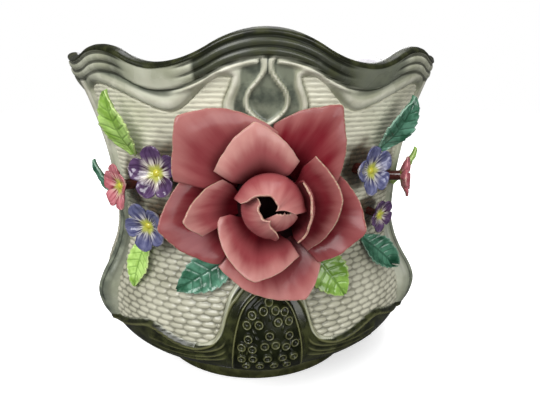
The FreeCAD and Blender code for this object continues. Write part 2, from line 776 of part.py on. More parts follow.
def petal_section(row, across):
    """Closed wire of one petal in the plane through the axis of the rose.

    Half the thickness goes to each side of the middle line.
    """
    half = size("petal_thickness") / 2
    line = petal_line(row, across)
    front, back = [], []
    for index, point in enumerate(line):
        ahead = line[min(index + 1, PETAL_STEPS)] - line[max(index - 1, 0)]
        square = FreeCAD.Vector(-ahead.y, ahead.x, 0).normalize()
        front.append(point + square * half)
        back.append(point - square * half)
    turn = math.radians(row[1] + row[2] * across)

    def place(point):
        return FreeCAD.Vector(point.x * math.sin(turn), point.x * math.cos(turn), point.y)

    upper = Part.BSplineCurve()
    upper.interpolate([place(point) for point in front])
    lower = Part.BSplineCurve()
    lower.interpolate([place(point) for point in reversed(back)])
    edge = Part.LineSegment(place(front[-1]), place(back[-1]))
    root = Part.LineSegment(place(back[0]), place(front[0]))
    return Part.Wire([upper.toShape(), edge.toShape(), lower.toShape(), root.toShape()])


def make_petal(row, core, stand):
    """One curled petal, lofted through its sections and seated on the core."""
    wires = [petal_section(row, 2 * index / PETAL_SECTIONS - 1) for index in range(PETAL_SECTIONS + 1)]
    piece = document.addObject("Part::Feature", f"{row[0]}_leaf")
    piece.Shape = Part.makeLoft(wires, True, False)
    piece.Placement = rose_frame(stand)
    return seated(row[0], piece, core)


def check(piece):
    """Stop where a piece is not one sound solid."""
    document.recompute()
    if any(word in piece.State for word in ("Invalid", "Error")):
        raise RuntimeError(f"{piece.Label} did not build: {piece.State}")
    shape = piece.Shape
    if shape.isNull() or not shape.isValid() or len(shape.Solids) != 1:
        raise RuntimeError(f"{piece.Label} is not one sound solid")


def main():
    """Build every piece and write it out."""
    form = make_form("wall_form", cell("seat_clearance"))
    pieces = [make_pot()]
    stand = rose_stand()
    core_body, core = make_core(form, stand)
    pieces.append(core)
    for row in PETALS:
        pieces.append(make_petal(row, core_body, stand))
    for row in FLOWERS:
        pieces += make_flower(row, form)
    for row in LEAVES:
        pieces.append(make_leaf(row, form))
    document.recompute()
    for item in document.Objects:
        if any(word in item.State for word in ("Invalid", "Error")):
            raise RuntimeError(f"{item.Name} did not build: {item.State}")
    os.makedirs("parts", exist_ok=True)
    for piece in pieces:
        check(piece)
        piece.Shape.exportStep(f"parts/{piece.Label}.step")
        box = piece.Shape.BoundBox
        print(f"{piece.Label}: {len(piece.Shape.Faces)} faces, {piece.Shape.Volume:.0f} mm3, box {box}")


main()
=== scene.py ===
"""Looks of a glazed earthenware cachepot: moulded wall, basketwork panels, rose, violets and leaves.

Shapes are worked out in millimetres and put into the meshes in metres, in the
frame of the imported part: the origin is the centre of the foot, +Z is up and
the rose faces -Y. An angle on the wall is counted from -Y, positive to +X.
"""

import logging
import math
from dataclasses import dataclass, field
from enum import Enum

import bpy
import numpy as np
from mathutils import Matrix

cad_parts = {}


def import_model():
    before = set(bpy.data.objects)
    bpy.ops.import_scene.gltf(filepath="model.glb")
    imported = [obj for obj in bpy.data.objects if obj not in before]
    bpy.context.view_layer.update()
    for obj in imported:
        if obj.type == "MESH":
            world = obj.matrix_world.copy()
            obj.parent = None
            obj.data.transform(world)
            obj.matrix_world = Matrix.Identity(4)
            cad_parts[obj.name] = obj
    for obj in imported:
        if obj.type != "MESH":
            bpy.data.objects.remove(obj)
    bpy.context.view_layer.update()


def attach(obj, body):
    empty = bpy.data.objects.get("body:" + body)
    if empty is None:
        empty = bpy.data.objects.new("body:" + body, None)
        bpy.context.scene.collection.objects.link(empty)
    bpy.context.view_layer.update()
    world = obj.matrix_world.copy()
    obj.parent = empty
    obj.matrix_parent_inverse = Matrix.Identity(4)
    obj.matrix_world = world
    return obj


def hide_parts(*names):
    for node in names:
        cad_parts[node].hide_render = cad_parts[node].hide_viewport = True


LOG = logging.getLogger("cachepot")
METRES = 0.001
BODY = "root"
FACES = 3
FACE_SPAN = 360.0 / FACES
FAR = 1e6
Array = np.ndarray
Socket = bpy.types.NodeSocket


def smooth(low: float, high: float, value: Array) -> Array:
    """Soft step from 0 at low to 1 at high: 3t^2 - 2t^3."""
    part = np.clip((value - low) / (high - low), 0.0, 1.0)
    return part * part * (3.0 - 2.0 * part)


def between(span: tuple, value: Array) -> Array:
    """1 between the two inner places of a span of four, with soft steps to 0 at the outer two."""
    return smooth(span[0], span[1], value) * (1 - smooth(span[2], span[3], value))


def bump(distance: Array, half_width: float) -> Array:
    """Rounded ridge of height 1 on a line: (1 - (d/w)^2)^2 inside the half width."""
    part = np.clip(1.0 - (distance / half_width) ** 2, 0.0, 1.0)
    return part * part


def face_offset(angle: Array) -> Array:
    """Angle from the middle of the nearest face."""
    return (angle + FACE_SPAN / 2) % FACE_SPAN - FACE_SPAN / 2


def path_distance(across: Array, height: Array, path: Array) -> Array:
    """Distance from points of the unrolled wall to a path of straight runs: the least of those to its runs.

    Args:
        across: millimetres to the side.
        height: height above the ground.
        path: corners of the path, to the side and in height.

    Returns:
        Distance of every point in millimetres.
    """
    best = np.full(np.shape(across), FAR)
    for (x0, z0), (x1, z1) in zip(path[:-1], path[1:]):
        dx, dz = x1 - x0, z1 - z0
        part = np.clip(((across - x0) * dx + (height - z0) * dz) / (dx * dx + dz * dz), 0.0, 1.0)
        best = np.minimum(best, np.hypot(across - x0 - part * dx, height - z0 - part * dz))
    return best


def rounded(path: tuple, count: int = 8) -> Array:
    """Catmull-Rom curve through a path, with the runs before and after it mirrored at its ends.

    Args:
        path: points that the curve goes through.
        count: steps in each run.

    Returns:
        Points of the curve.
    """
    knots = np.array(path, float)
    ends = np.vstack([2 * knots[0] - knots[1], knots, 2 * knots[-1] - knots[-2]])
    part = np.linspace(0.0, 1.0, count, endpoint=False)[:, None]
    runs = []
    for before, first, last, after in zip(ends[:-3], ends[1:-2], ends[2:-1], ends[3:]):
        square = (2 * before - 5 * first + 4 * last - after) * part ** 2
        cube = (3 * first - before - 3 * last + after) * part ** 3
        runs.append(0.5 * (2 * first + (last - before) * part + square + cube))
    return np.vstack(runs + [knots[-1:]])


def curve(value: Array, knots: tuple) -> Array:
    """Smooth value read along a rounded line through (place, value) knots."""
    line = rounded(knots)
    return np.interp(value, line[:, 0], line[:, 1])


def ripple(across: Array, along: Array, seed: float) -> Array:
    """Slow waves from -1 to 1 that differ with the seed: the mean of three crossed sines.

    Args:
        across: first place on the surface.
        along: second place on the surface.
        seed: number that shifts the waves.

    Returns:
        Height of the waves.
    """
    first = np.sin(across * 2.1 + along * 3.3 + seed * 1.7)
    second = np.sin(across * 4.7 - along * 2.9 + seed * 3.1)
    third = np.sin(across * 1.3 + along * 6.1 - seed * 2.3)
    return (first + second + third) / 3.0


def grid(rows: int, columns: int) -> tuple[Array, Array]:
    """Shares along a blade, from 0 to 1 down the rows, and across it, from -1 to 1 over the columns."""
    return np.meshgrid(np.linspace(0, 1, rows), np.linspace(-1, 1, columns), indexing="ij")


def quads(rows: int, columns: int, wrap: bool = False) -> Array:
    """Corner numbers of the faces of a grid of points, row after row.

    Args:
        rows: rows of points.
        columns: points in a row.
        wrap: True where the last column joins the first.

    Returns:
        Array of four corners a face.
    """
    row = np.arange(rows - 1)[:, None] * columns
    column = np.arange(columns if wrap else columns - 1)[None, :]
    after = (column + 1) % columns
    corners = [row + column, row + after, row + columns + after, row + columns + column]
    return np.stack(corners, -1).reshape(-1, 4)


def pole_faces(rows: int, columns: int) -> list:
    """Triangles that close a wrapped grid at a first and a last pole, numbered after its points.

    Args:
        rows: rows of points.
        columns: points in a row.

    Returns:
        Three corner numbers a face.
    """
    column = np.arange(columns)
    after = (column + 1) % columns
    base = (rows - 1) * columns
    first = np.full(columns, rows * columns)
    low = np.stack([first, after, column], -1)
    high = np.stack([first + 1, base + column, base + after], -1)
    return np.vstack([low, high]).tolist()


def put_piece(name: str, points: Array, faces: list, values: dict, slot: str) -> bpy.types.Object:
    """Make a smooth mesh piece that rides on the pot.

    Args:
        name: name of the piece.
        points: corner points in millimetres.
        faces: corner numbers of each face.
        values: named value for every point, kept as an attribute.
        slot: material slot of the record, not used.

    Returns:
        The new object.
    """
    mesh = bpy.data.meshes.new(name)
    mesh.from_pydata((points * METRES).tolist(), [], faces)
    mesh.polygons.foreach_set("use_smooth", np.ones(len(mesh.polygons), bool))
    for key, value in values.items():
        layer = mesh.attributes.new(key, "FLOAT", "POINT")
        layer.data.foreach_set("value", np.ascontiguousarray(value, np.float32).ravel())
    mesh.update()
    piece = bpy.data.objects.new(name, mesh)
    bpy.context.scene.collection.objects.link(piece)
    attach(piece, BODY)
    LOG.info("%s: %d faces", name, len(mesh.polygons))
    return piece


def shell_faces(front: Array, back: Array) -> tuple[Array, list]:
    """Closed leaf of clay between a front and a back grid, with one strip round the edge.

    Args:
        front: grid of points of the front.
        back: grid of points of the back.

    Returns:
        The points, and the faces turned so that the front looks away from the back.
    """
    rows, columns = front.shape[:2]
    size = rows * columns
    points = np.vstack([front.reshape(-1, 3), back.reshape(-1, 3)])
    face = quads(rows, columns)
    ring = np.concatenate([
        np.arange(columns - 1),
        np.arange(rows - 1) * columns + columns - 1,
        size - 1 - np.arange(columns - 1),
        (rows - 1 - np.arange(rows - 1)) * columns,
    ])
    after = np.roll(ring, -1)
    edge = np.stack([ring, ring + size, after + size, after], -1)
    whole = np.vstack([face, face[:, ::-1] + size, edge])
    a, b, c = (front.reshape(-1, 3)[face[:, index]] for index in (0, 1, 2))
    normal = np.cross(b - a, c - a)
    outward = (front - back).reshape(-1, 3)[face[:, 0]]
    if np.sum(normal * outward) < 0:
        whole = whole[:, ::-1]
    return points, whole.tolist()


def both(value: Array) -> Array:
    """The same values for the front and the back of a shell."""
    return np.concatenate([value.ravel(), value.ravel()])


@dataclass(frozen=True)
class RoseSizes:
    """Place and size of the rose on the front of the pot."""

    height: float = 136.0
    radius: float = 60.0
    depth: float = 48.0
    tilt: float = 8.99
    thickness: float = 2.4


@dataclass(frozen=True)
class Wall:
    """Turned form of the pot and the wave of its rim, as in the solid."""

    rim: tuple = (125.0, 225.0)
    waist: tuple = (105.0, 113.0)
    belly: tuple = (118.0, 55.0)
    neck: tuple = (77.5, 8.5)
    foot_radius: float = 80.0
    foot_round: float = 1.2
    ring_width: float = 10.0
    recess: float = 4.0
    thickness: float = 7.0
    floor: float = 13.0
    flare_share: float = 0.78
    belly_share: float = 0.45
    drop_share: float = 0.29
    fall_share: float = 0.54
    wave_angles: tuple = (0.0, 26.5, 45.0, 60.0)
    wave_heights: tuple = (225.0, 210.0, 220.0, 216.0)

    def ogee(self, height: Array, low: tuple, high: tuple, share: float) -> Array:
        """Two arcs that meet tangent on the chord, upright at both ends.

        Args:
            height: height above the ground.
            low: radius and height of the lower end.
            high: radius and height of the upper end.
            share: share of the run that the lower arc takes.

        Returns:
            Radius at every height.
        """
        across, along = high[0] - low[0], high[1] - low[1]
        total = (across * across + along * along) / (2 * abs(across))
        first, second = share * total, (1 - share) * total
        lower = first - np.sqrt(np.clip(first ** 2 - (height - low[1]) ** 2, 0, None))
        upper = second - np.sqrt(np.clip(second ** 2 - (high[1] - height) ** 2, 0, None))
        sign = np.sign(across)
        return np.where(height - low[1] < share * along, low[0] + sign * lower, high[0] - sign * upper)

    def radius(self, height: Array, inset: float = 0.0, floor: float | None = None) -> Array:
        """Radius of the wall: a slope and an arc under the belly, an ogee to the waist and one to the rim.

        Args:
            height: height above the ground.
            inset: distance by which the line is drawn in, for the inside.
            floor: level at which the line starts, or None for the neck of the foot.

        Returns:
            Radius at every height.
        """
        base = self.neck[1] if floor is None else floor
        rim, waist, belly = ((point[0] - inset, point[1]) for point in (self.rim, self.waist, self.belly))
        neck = (self.neck[0] - inset, base)
        height = np.asarray(height, float)
        drop = self.drop_share * (belly[0] - neck[0])
        fall = self.fall_share * (belly[1] - neck[1])
        bend = (drop * drop + fall * fall) / (2 * drop)
        under = belly[0] - (bend - np.sqrt(np.clip(bend ** 2 - (belly[1] - height) ** 2, 0, None)))
        slope = neck[0] + (height - neck[1]) / (belly[1] - fall - neck[1]) * (belly[0] - drop - neck[0])
        lower = np.where(height >= belly[1] - fall, under, slope)
        middle = self.ogee(height, belly, waist, self.belly_share)
        upper = self.ogee(np.minimum(height, rim[1]), waist, rim, self.flare_share)
        return np.where(height >= waist[1], upper, np.where(height >= belly[1], middle, lower))

    def top(self, offset: Array) -> Array:
        """Height of the rim: runs between the turning points, eased by a square at each end.

        Args:
            offset: angle from the middle of a face.

        Returns:
            Height at every angle.
        """
        place = np.sin(np.radians(np.abs(offset)))
        knots = np.sin(np.radians(self.wave_angles))
        result = np.full(np.shape(place), self.wave_heights[-1])
        for x0, x1, z0, z1 in zip(knots, knots[1:], self.wave_heights, self.wave_heights[1:]):
            part = np.clip((place - x0) / (x1 - x0), 0.0, 1.0)
            ease = np.where(part < 0.5, 2 * part ** 2, 1 - 2 * (1 - part) ** 2)
            result = np.where((place >= x0) & (place <= x1), z0 + (z1 - z0) * ease, result)
        return result

    def place(self, angle: Array, radius: Array, height: Array) -> Array:
        """Points on the pot from an angle in degrees, a radius and a height."""
        turn = np.radians(angle)
        return np.stack(np.broadcast_arrays(radius * np.sin(turn), -radius * np.cos(turn), height), -1)

    def spot(self, right: float, up: float, rose: RoseSizes, lift: float) -> tuple[Array, Array]:
        """Place and axes on the wall beside the rose.

        Args:
            right: rose radii to the right of the rose.
            up: rose radii above the rose.
            rose: place and size of the rose.
            lift: distance off the wall.

        Returns:
            The place, and a matrix whose columns are up along the wall, left, and out of it.
        """
        height = rose.height + up * rose.radius
        radius = float(self.radius(height))
        turn = right * rose.radius / radius
        step = self.thickness / 4
        slope = float(self.radius(height + step) - self.radius(height - step)) / (2 * step)
        outward = np.array([math.sin(turn), -math.cos(turn), 0.0])
        upward = outward * slope + np.array([0.0, 0.0, 1.0])
        upward /= np.linalg.norm(upward)
        sideways = np.cross([0.0, 0.0, 1.0], outward)
        normal = np.cross(sideways, upward)
        centre = outward * radius + np.array([0.0, 0.0, height]) + normal * lift
        return centre, np.stack([upward, np.cross(normal, upward), normal], -1)


class FacePoints:
    """Points of the wall, measured from the middle, the rim and the corner of their face."""

    def __init__(self, wall: Wall, angle: Array, height: Array) -> None:
        """Measure the points.

        Args:
            wall: form of the pot.
            angle: angle on the pot in degrees.
            height: height above the ground.
        """
        radius = wall.radius(height)
        self.height = height
        self.sway = np.sin(np.radians(angle))
        self.offset = face_offset(angle)
        self.away = np.abs(self.offset)
        self.across = np.radians(self.offset) * radius
        self.side = np.abs(self.across)
        self.depth = wall.top(self.offset) - height
        self.corner = np.radians(FACE_SPAN / 2 - self.away) * radius


@dataclass(frozen=True)
class Ridge:
    """Lofted ridge of the solid: its levels, width and rise, with shares of both along its height."""

    low: float
    high: float
    width: float
    rise: float
    levels: tuple
    widths: tuple
    rises: tuple
    side_share: float = 0.45
    skirt: float = 2.4
    foot: tuple = (-0.06, 0.02)
    head: tuple = (0.97, 1.08)

    def over(self, distance: Array, height: Array) -> Array:
        """Rise of the ridge: an arc across it, with its width and rise read along its height.

        Args:
            distance: distance from its middle line.
            height: height above the ground.

        Returns:
            Rise in millimetres.
        """
        share = (height - self.low) / (self.high - self.low)
        half = np.interp(share, self.levels, self.widths) * self.width / 2
        lift = curve(share, tuple(zip(self.levels, self.rises))) * self.rise
        body = self.side_share + (1 - self.side_share) * np.clip(1 - (distance / half) ** 2, 0, 1)
        skirt = 1 - smooth(0.0, self.skirt, distance - half)
        return lift * body * skirt * smooth(*self.foot, share) * (1 - smooth(*self.head, share))


@dataclass(frozen=True)
class Painting:
    """Where the glazes lie on the wall: angles from the middle of a face, depths and heights in millimetres.

    The sway is -1 at the pot's left end and 1 at its right. The olive is
    thinner on the right and paler in the left dips of the rim.
    """

    sway_full: float = 0.4
    shoulder: tuple = (36.0, 44.0)
    dip: tuple = (16.2, 17.4, 31.0, 40.0)
    dip_depth: tuple = (2.9, 4.2)
    dip_pale: tuple = (0.3, 0.7)
    dip_sway: tuple = (-1.0, 0.4)
    # Olive: how far the hem runs over its edges, the dark lip, and the band's share with what thins it
    hem_over: float = 1.2
    hem_soft: tuple = (-1.0, 1.0)
    hem_side: float = 0.9
    hem_side_soft: tuple = (-1.2, 1.0)
    hem_top: float = 104.0
    lip_depth: tuple = (2.8, 4.4)
    band_olive: float = 0.62
    band_thin: float = 0.24
    band_thin_from: tuple = (17.0, 26.0)
    shoulder_thin: tuple = (0.36, 0.12)
    pale_thin: float = 0.95
    # Grey wash: under the band, at the foot of the corners and on the band, and the ribs it leaves bare
    under_depth: float = 1.0
    under_half: float = 6.5
    under_wash: tuple = (0.7, 0.25)
    corner_half: float = 15.0
    corner_stop: tuple = (104.0, 190.0)
    corner_wash: tuple = (0.95, 0.15)
    band_wash: tuple = (0.75, 0.6)
    shoulder_wash: tuple = (0.42, 0.2)
    frame_bare: float = 0.8
    spine_bare: float = 1.3
    spine_bare_from: tuple = (140.0, 175.0)
    shoulder_bare: float = 0.35
    bare: float = 0.8
    # Crests on which the glaze breaks pale, above 0, and hollows in which it pools, below 0, with painted
    # shade under the band's ledge and below the belly, also below 0
    outer_crest: float = 0.9
    flare_crest: float = 0.8
    pleat_crest: float = 0.5
    pleat_pool: float = 0.8
    ground_pool: float = 0.2
    inner_pool: float = 0.95
    ring_fill: float = 0.5
    bead_crest: tuple = (0.3, 1.7)
    # Painted shade: a dark line under the ledge of the band
    ledge_shade_depth: float = 0.6
    ledge_shade_half: float = 0.9
    ledge_shade: float = 0.9
    # Painted shade: the wall darkens below the belly, down to the neck of the foot
    foot_shade: float = 1.2
    foot_shade_to: tuple = (28.0, 33.0)

    def shares(self, at: FacePoints, form: dict[str, Array], relief: "Relief") -> dict[str, Array]:
        """Share of each glaze at points of the wall.

        Args:
            at: the points.
            form: shares of the moulded forms at the points.
            relief: the ornament, for its edges.

        Returns:
            Shares of the olive glaze and the grey wash, and the relief height with its painted shade.
        """
        side = at.sway / self.sway_full
        pale = between(self.dip, at.away) * smooth(*self.dip_depth, at.depth)
        pale = pale * (self.dip_pale[0] - self.dip_pale[1] * np.clip(side, *self.dip_sway))
        zones = {"right": np.clip(side, 0.0, 1.0), "pale": pale, "shoulder": smooth(*self.shoulder, at.away)}
        form = form | zones
        return {
            "olive": self.olive(at, form, relief),
            "wash": self.wash(at, form, relief),
            "crest": self.crest(at, form, relief),
        }

    def olive(self, at: FacePoints, form: dict[str, Array], relief: "Relief") -> Array:
        """Olive on the hem and the lip, and thinner on the band: the larger of their shares.

        Args:
            at: the points.
            form: shares of the moulded forms, the right side, the pale dips and the shoulders.
            relief: the ornament, for its edges.

        Returns:
            Share of the olive glaze.
        """
        right, pale, shoulder = form["right"], form["pale"], form["shoulder"]
        hem = smooth(*self.hem_soft, curve(at.away, relief.panel_foot) + self.hem_over - at.height)
        arch = smooth(*self.hem_side_soft, curve(at.height, relief.arch_frame) - at.side - self.hem_side)
        hem = np.maximum(hem, np.where(at.height < self.hem_top, arch, 0.0))
        lip = 1 - smooth(*self.lip_depth, at.depth)
        thin = self.band_olive - self.band_thin * right * smooth(*self.band_thin_from, at.away)
        thin = thin - (self.shoulder_thin[0] + self.shoulder_thin[1] * right) * shoulder
        return np.maximum(form["band"] * np.maximum(lip, thin * (1 - self.pale_thin * pale)), hem)

    def wash(self, at: FacePoints, form: dict[str, Array], relief: "Relief") -> Array:
        """Grey wash, the largest of its zones, wiped off the ribs, where it falls below 0.

        Args:
            at: the points.
            form: shares of the moulded forms, the right side, the pale dips and the shoulders.
            relief: the ornament, for its sizes.

        Returns:
            Share of the wash.
        """
        band, right, pale, shoulder = (form[key] for key in ("band", "right", "pale", "shoulder"))
        under = bump(at.depth - relief.band_depth - self.under_depth, self.under_half)
        under = under * (self.under_wash[0] - self.under_wash[1] * at.sway)
        low = bump(at.corner, self.corner_half) * (1 - smooth(*self.corner_stop, at.height))
        low = low * (self.corner_wash[0] - self.corner_wash[1] * at.sway)
        on_band = self.band_wash[0] - self.band_wash[1] * pale
        on_band = on_band - (self.shoulder_wash[0] + self.shoulder_wash[1] * right) * shoulder
        wash = np.maximum.reduce([form["ground"], under * (1 - band), band * on_band, low])
        spine = self.spine_bare * form["spine"] * smooth(*self.spine_bare_from, at.height)
        ribs = [form["drop"], self.frame_bare * form["frame"], spine, self.shoulder_bare * band * shoulder]
        cream = np.maximum.reduce(ribs)
        return wash * (1 - cream) - self.bare * cream

    def crest(self, at: FacePoints, form: dict[str, Array], relief: "Relief") -> Array:
        """Relief height that the glaze answers to: the highest rib less the hollows beside it, and less
        painted shade under the band's ledge and below the belly.

        Args:
            at: the points.
            form: shares of the moulded forms.
            relief: the ornament, for its sizes.

        Returns:
            About 1 on crests, 0 on plain ground and -1 in hollows and in painted shade.
        """
        pleats, rings = form["pleats"], form["rings"]
        crest = np.maximum.reduce([
            form["arch"],
            self.outer_crest * form["outer"],
            self.flare_crest * form["flare"],
            rings,
            self.pleat_crest * np.clip(pleats, 0, 1),
        ])
        filled = np.maximum(rings, self.ring_fill * form["hollows"])
        ground = form["ground"] * (1 - form["drop"])
        crest -= self.pleat_pool * np.clip(-pleats, 0, 1) + self.ground_pool * ground
        crest -= self.inner_pool * (form["inner"] * (1 - filled) * (1 - form["arch"]))
        crest += form["band"] * form["beaded"] * (self.bead_crest[0] - self.bead_crest[1] * form["groove"])
        # painted shade under the ledge of the band
        crest -= self.ledge_shade * bump(at.depth - relief.band_depth - self.ledge_shade_depth, self.ledge_shade_half)
        # painted shade below the belly
        return crest - self.foot_shade * (1 - smooth(*self.foot_shade_to, at.height))


@dataclass
class Relief:
    """Moulded ornament of one face, drawn on the wall unrolled: millimetres to the side and height."""

    wall: Wall
    painting: Painting = Painting()
    border_rise: float = 1.3
    # Band under the rim, with beads that stop over the dips
    band_depth: float = 13.4
    band_soft: float = 0.5
    band_rise: float = 1.5
    bead_pitch: float = 4.47
    bead_rise: float = 1.15
    bead_swell: float = 0.5
    bead_cut: float = 0.75
    bead_stop: tuple = (16.0, 24.0)
    bead_again: tuple = (33.0, 40.0)
    groove_half: float = 1.25
    groove_start: tuple = (1.0, 3.0)
    # Drop under the crest, with the roll that leads to it, its frame and its sunken ground
    drop_foot: float = 160.0
    rib_rise: float = 1.8
    rib_half: float = 1.7
    roll_below: float = 2.0
    roll_half: float = 1.6
    roll_side: float = 4.0
    roll_stop: tuple = (17.0, 26.0)
    frame_rise: float = 1.2
    frame_half: float = 3.4
    lobe_above: float = 3.0
    lobe_half: float = 4.2
    lobe_share: float = 0.8
    lobe_span: tuple = (11.0, 16.0, 52.0, 58.0)
    ground_inset: float = 2.0
    ground_soft: float = 1.0
    ground_sink: float = 0.9
    # Arch with its ribs, the ground inside it, its rings and its strokes
    medallion: Ridge = Ridge(26.0, 90.0, 46.0, 6.0, (0.0, 0.22, 0.5, 0.78, 1.0), (0.94, 1.0, 0.88, 0.6, 0.14),
                             (0.55, 1.0, 1.0, 0.75, 0.2))
    arch_top: float = 102.0
    arch_half: float = 1.1
    arch_rise: float = 1.6
    outer_half: float = 2.0
    outer_rise: float = 1.3
    flare_half: float = 1.7
    flare_rise: float = 1.0
    flare_start: tuple = (21.5, 26.0)
    inner_edge: tuple = (-0.3, 0.7)
    inner_start: tuple = (34.0, 36.0)
    inner_sink: float = 0.7
    outside_arch: float = -9.0
    ring_radius: float = 2.05
    ring_half: float = 0.95
    ring_rise: float = 1.3
    hollow_edge: tuple = (-0.5, 0.3)
    tick_half: tuple = (0.55, 2.3)
    tick_share: float = 0.8
    # Corner with its strap, spine and pleats
    strap: Ridge = Ridge(38.0, 112.0, 17.0, 9.5, (0.0, 0.24, 0.43, 0.68, 1.0), (0.6, 0.85, 1.0, 0.85, 0.65),
                         (0.26, 0.75, 1.0, 0.65, 0.15))
    spine_half: float = 8.5
    spine_rise: float = 1.1
    spine_start: tuple = (95.0, 118.0)
    pleat_pitch: float = 4.6
    pleat_half: float = 13.0
    pleat_rise: float = 0.7
    pleat_span: tuple = (44.0, 62.0, 96.0, 175.0)
    # Sunken panel of the basketwork, and the fine sheet that lies over the arch
    panel_depth: float = 2.9
    panel_edge: float = 56.5
    panel_soft: float = 1.8
    patch_half: float = 44.0
    patch_span: tuple = (33.5, 99.5)
    patch_sink: float = 2.2
    patch_soft: tuple = (1.6, 3.2)
    patch_lift: float = 0.12
    # Upper edge of the basketwork by angle, its edge by the drop, by the arch and above the hem
    panel_top: tuple = (
        (0.0, 206.0), (8.0, 204.0), (11.0, 204.5), (14.0, 201.5), (18.0, 194.5), (22.0, 188.8), (25.5, 186.8),
        (30.0, 188.6), (37.0, 194.0), (45.0, 199.5), (51.0, 201.5), (55.0, 199.0), (60.0, 190.0))
    drop_frame: tuple = (
        (160.0, -6.0), (165.5, 0.0), (169.0, 7.5), (175.0, 14.5), (182.0, 19.3), (188.0, 20.8), (193.0, 19.6),
        (199.0, 16.8), (206.0, 14.5))
    arch_frame: tuple = (
        (30.0, 90.0), (46.0, 60.0), (50.5, 42.0), (53.5, 33.0), (57.0, 28.8), (62.0, 26.2), (70.0, 24.0),
        (78.0, 21.6), (84.0, 18.6), (90.0, 13.4), (94.0, 7.4), (97.0, 0.0), (102.0, -9.0))
    panel_foot: tuple = (
        (0.0, 50.2), (16.0, 49.8), (23.0, 49.8), (28.0, 52.2), (33.0, 55.8), (38.0, 57.2), (45.0, 52.8),
        (54.0, 47.0), (60.0, 45.5))
    # Lines of the ribs, to the side and in height
    drop_rib: tuple = (
        (20.0, 209.6), (12.0, 211.2), (5.0, 211.8), (2.3, 210.6), (1.5, 207.6), (2.4, 204.2), (5.2, 200.2),
        (8.6, 196.2), (10.2, 191.6), (9.2, 187.0), (6.0, 183.2), (2.4, 180.4), (0.0, 179.2))
    frame_rib: tuple = (
        (31.0, 197.0), (25.0, 203.0), (19.5, 205.2), (15.6, 203.6), (15.2, 199.2), (17.6, 193.4),
        (18.8, 188.0), (17.2, 182.0), (12.4, 175.6), (6.0, 169.6), (0.0, 166.4))
    arch_rib: tuple = (
        (0.0, 86.6), (2.4, 85.6), (5.0, 83.9), (8.4, 81.3), (12.2, 77.5), (14.6, 73.3), (16.4, 68.0),
        (17.9, 61.6), (19.0, 54.0), (19.6, 45.0), (19.8, 36.0))
    arch_outer: tuple = (
        (0.0, 97.0), (5.0, 93.4), (10.1, 88.9), (13.1, 86.0), (17.3, 81.0), (20.6, 77.0), (23.4, 71.0),
        (25.2, 65.4), (28.0, 59.6), (32.0, 53.0), (40.0, 49.0), (49.0, 48.4), (58.0, 50.6), (67.0, 54.2),
        (77.0, 56.0), (90.0, 51.6), (104.0, 46.4), (120.0, 43.0))
    flare_ribs: tuple = (
        ((22.6, 66.0), (23.2, 57.8), (25.9, 52.8), (30.2, 49.6), (38.0, 47.0), (54.0, 45.6), (76.0, 47.2)),
        ((22.0, 60.0), (22.9, 51.2), (26.1, 47.4), (30.3, 44.8), (38.0, 42.6), (54.0, 41.2), (76.0, 42.0)),
        ((21.2, 52.0), (21.6, 45.4), (26.0, 42.4), (33.1, 40.4), (44.0, 38.6), (60.0, 37.8), (76.0, 38.2)))
    # Places of the rings, and of the strokes with their lean
    rings: tuple = (
        (1.0, 80.2), (-2.1, 75.7), (4.4, 75.7), (9.6, 74.5), (-8.4, 73.4), (-11.4, 68.0), (-4.8, 68.5),
        (5.7, 69.6), (11.9, 69.3), (0.8, 62.3), (-10.8, 60.1), (11.8, 61.4), (-14.5, 54.7), (-8.6, 54.2),
        (-1.9, 56.3), (4.1, 56.6), (9.9, 55.0), (15.2, 56.1), (-14.6, 46.6), (-8.3, 47.4), (-0.3, 47.6),
        (8.0, 47.4), (14.6, 46.8), (-12.0, 40.6), (-4.4, 41.4), (3.4, 41.2), (10.8, 40.8))
    ticks: tuple = (
        (1.5, 71.6, 0.1), (8.5, 66.2, 0.4), (-7.5, 63.8, -0.5), (-6.0, 60.1, -0.6), (-7.2, 78.0, 0.8),
        (-6.1, 78.9, 0.8), (-5.0, 79.9, 0.8), (-3.9, 80.8, 0.8), (-2.8, 81.6, 0.8), (1.7, 51.6, -0.5),
        (6.6, 51.4, 0.5), (13.6, 51.2, -0.9), (-15.8, 50.5, 0.0), (-14.2, 50.3, 0.0), (-11.6, 50.8, 0.2))

    def panel(self, offset: Array, across: Array, height: Array, soft: float) -> Array:
        """1 inside the basketwork panel and 0 outside: the product of a soft step at each edge.

        Args:
            offset: angle from the middle of the face.
            across: millimetres to the side.
            height: height above the ground.
            soft: width of the edge in millimetres.

        Returns:
            Share of the panel.
        """
        away, side = np.abs(offset), np.abs(across)
        inside = smooth(0, soft, curve(away, self.panel_top) - height)
        inside *= smooth(0, soft, height - curve(away, self.panel_foot))
        inside *= smooth(0, soft / 2, self.panel_edge - away)
        by_drop = smooth(0, soft, side - curve(height, self.drop_frame))
        by_arch = smooth(0, soft, side - curve(height, self.arch_frame))
        inside *= np.where(height > self.drop_foot, by_drop, 1.0)
        inside *= np.where(height < self.arch_top, by_arch, 1.0)
        return inside

    def patch(self, across: Array, height: Array) -> Array:
        """Distance inside the edge of the fine sheet over the arch, negative outside it."""
        low, high = self.patch_span
        return np.minimum(self.patch_half - np.abs(across), np.minimum(height - low, high - height))

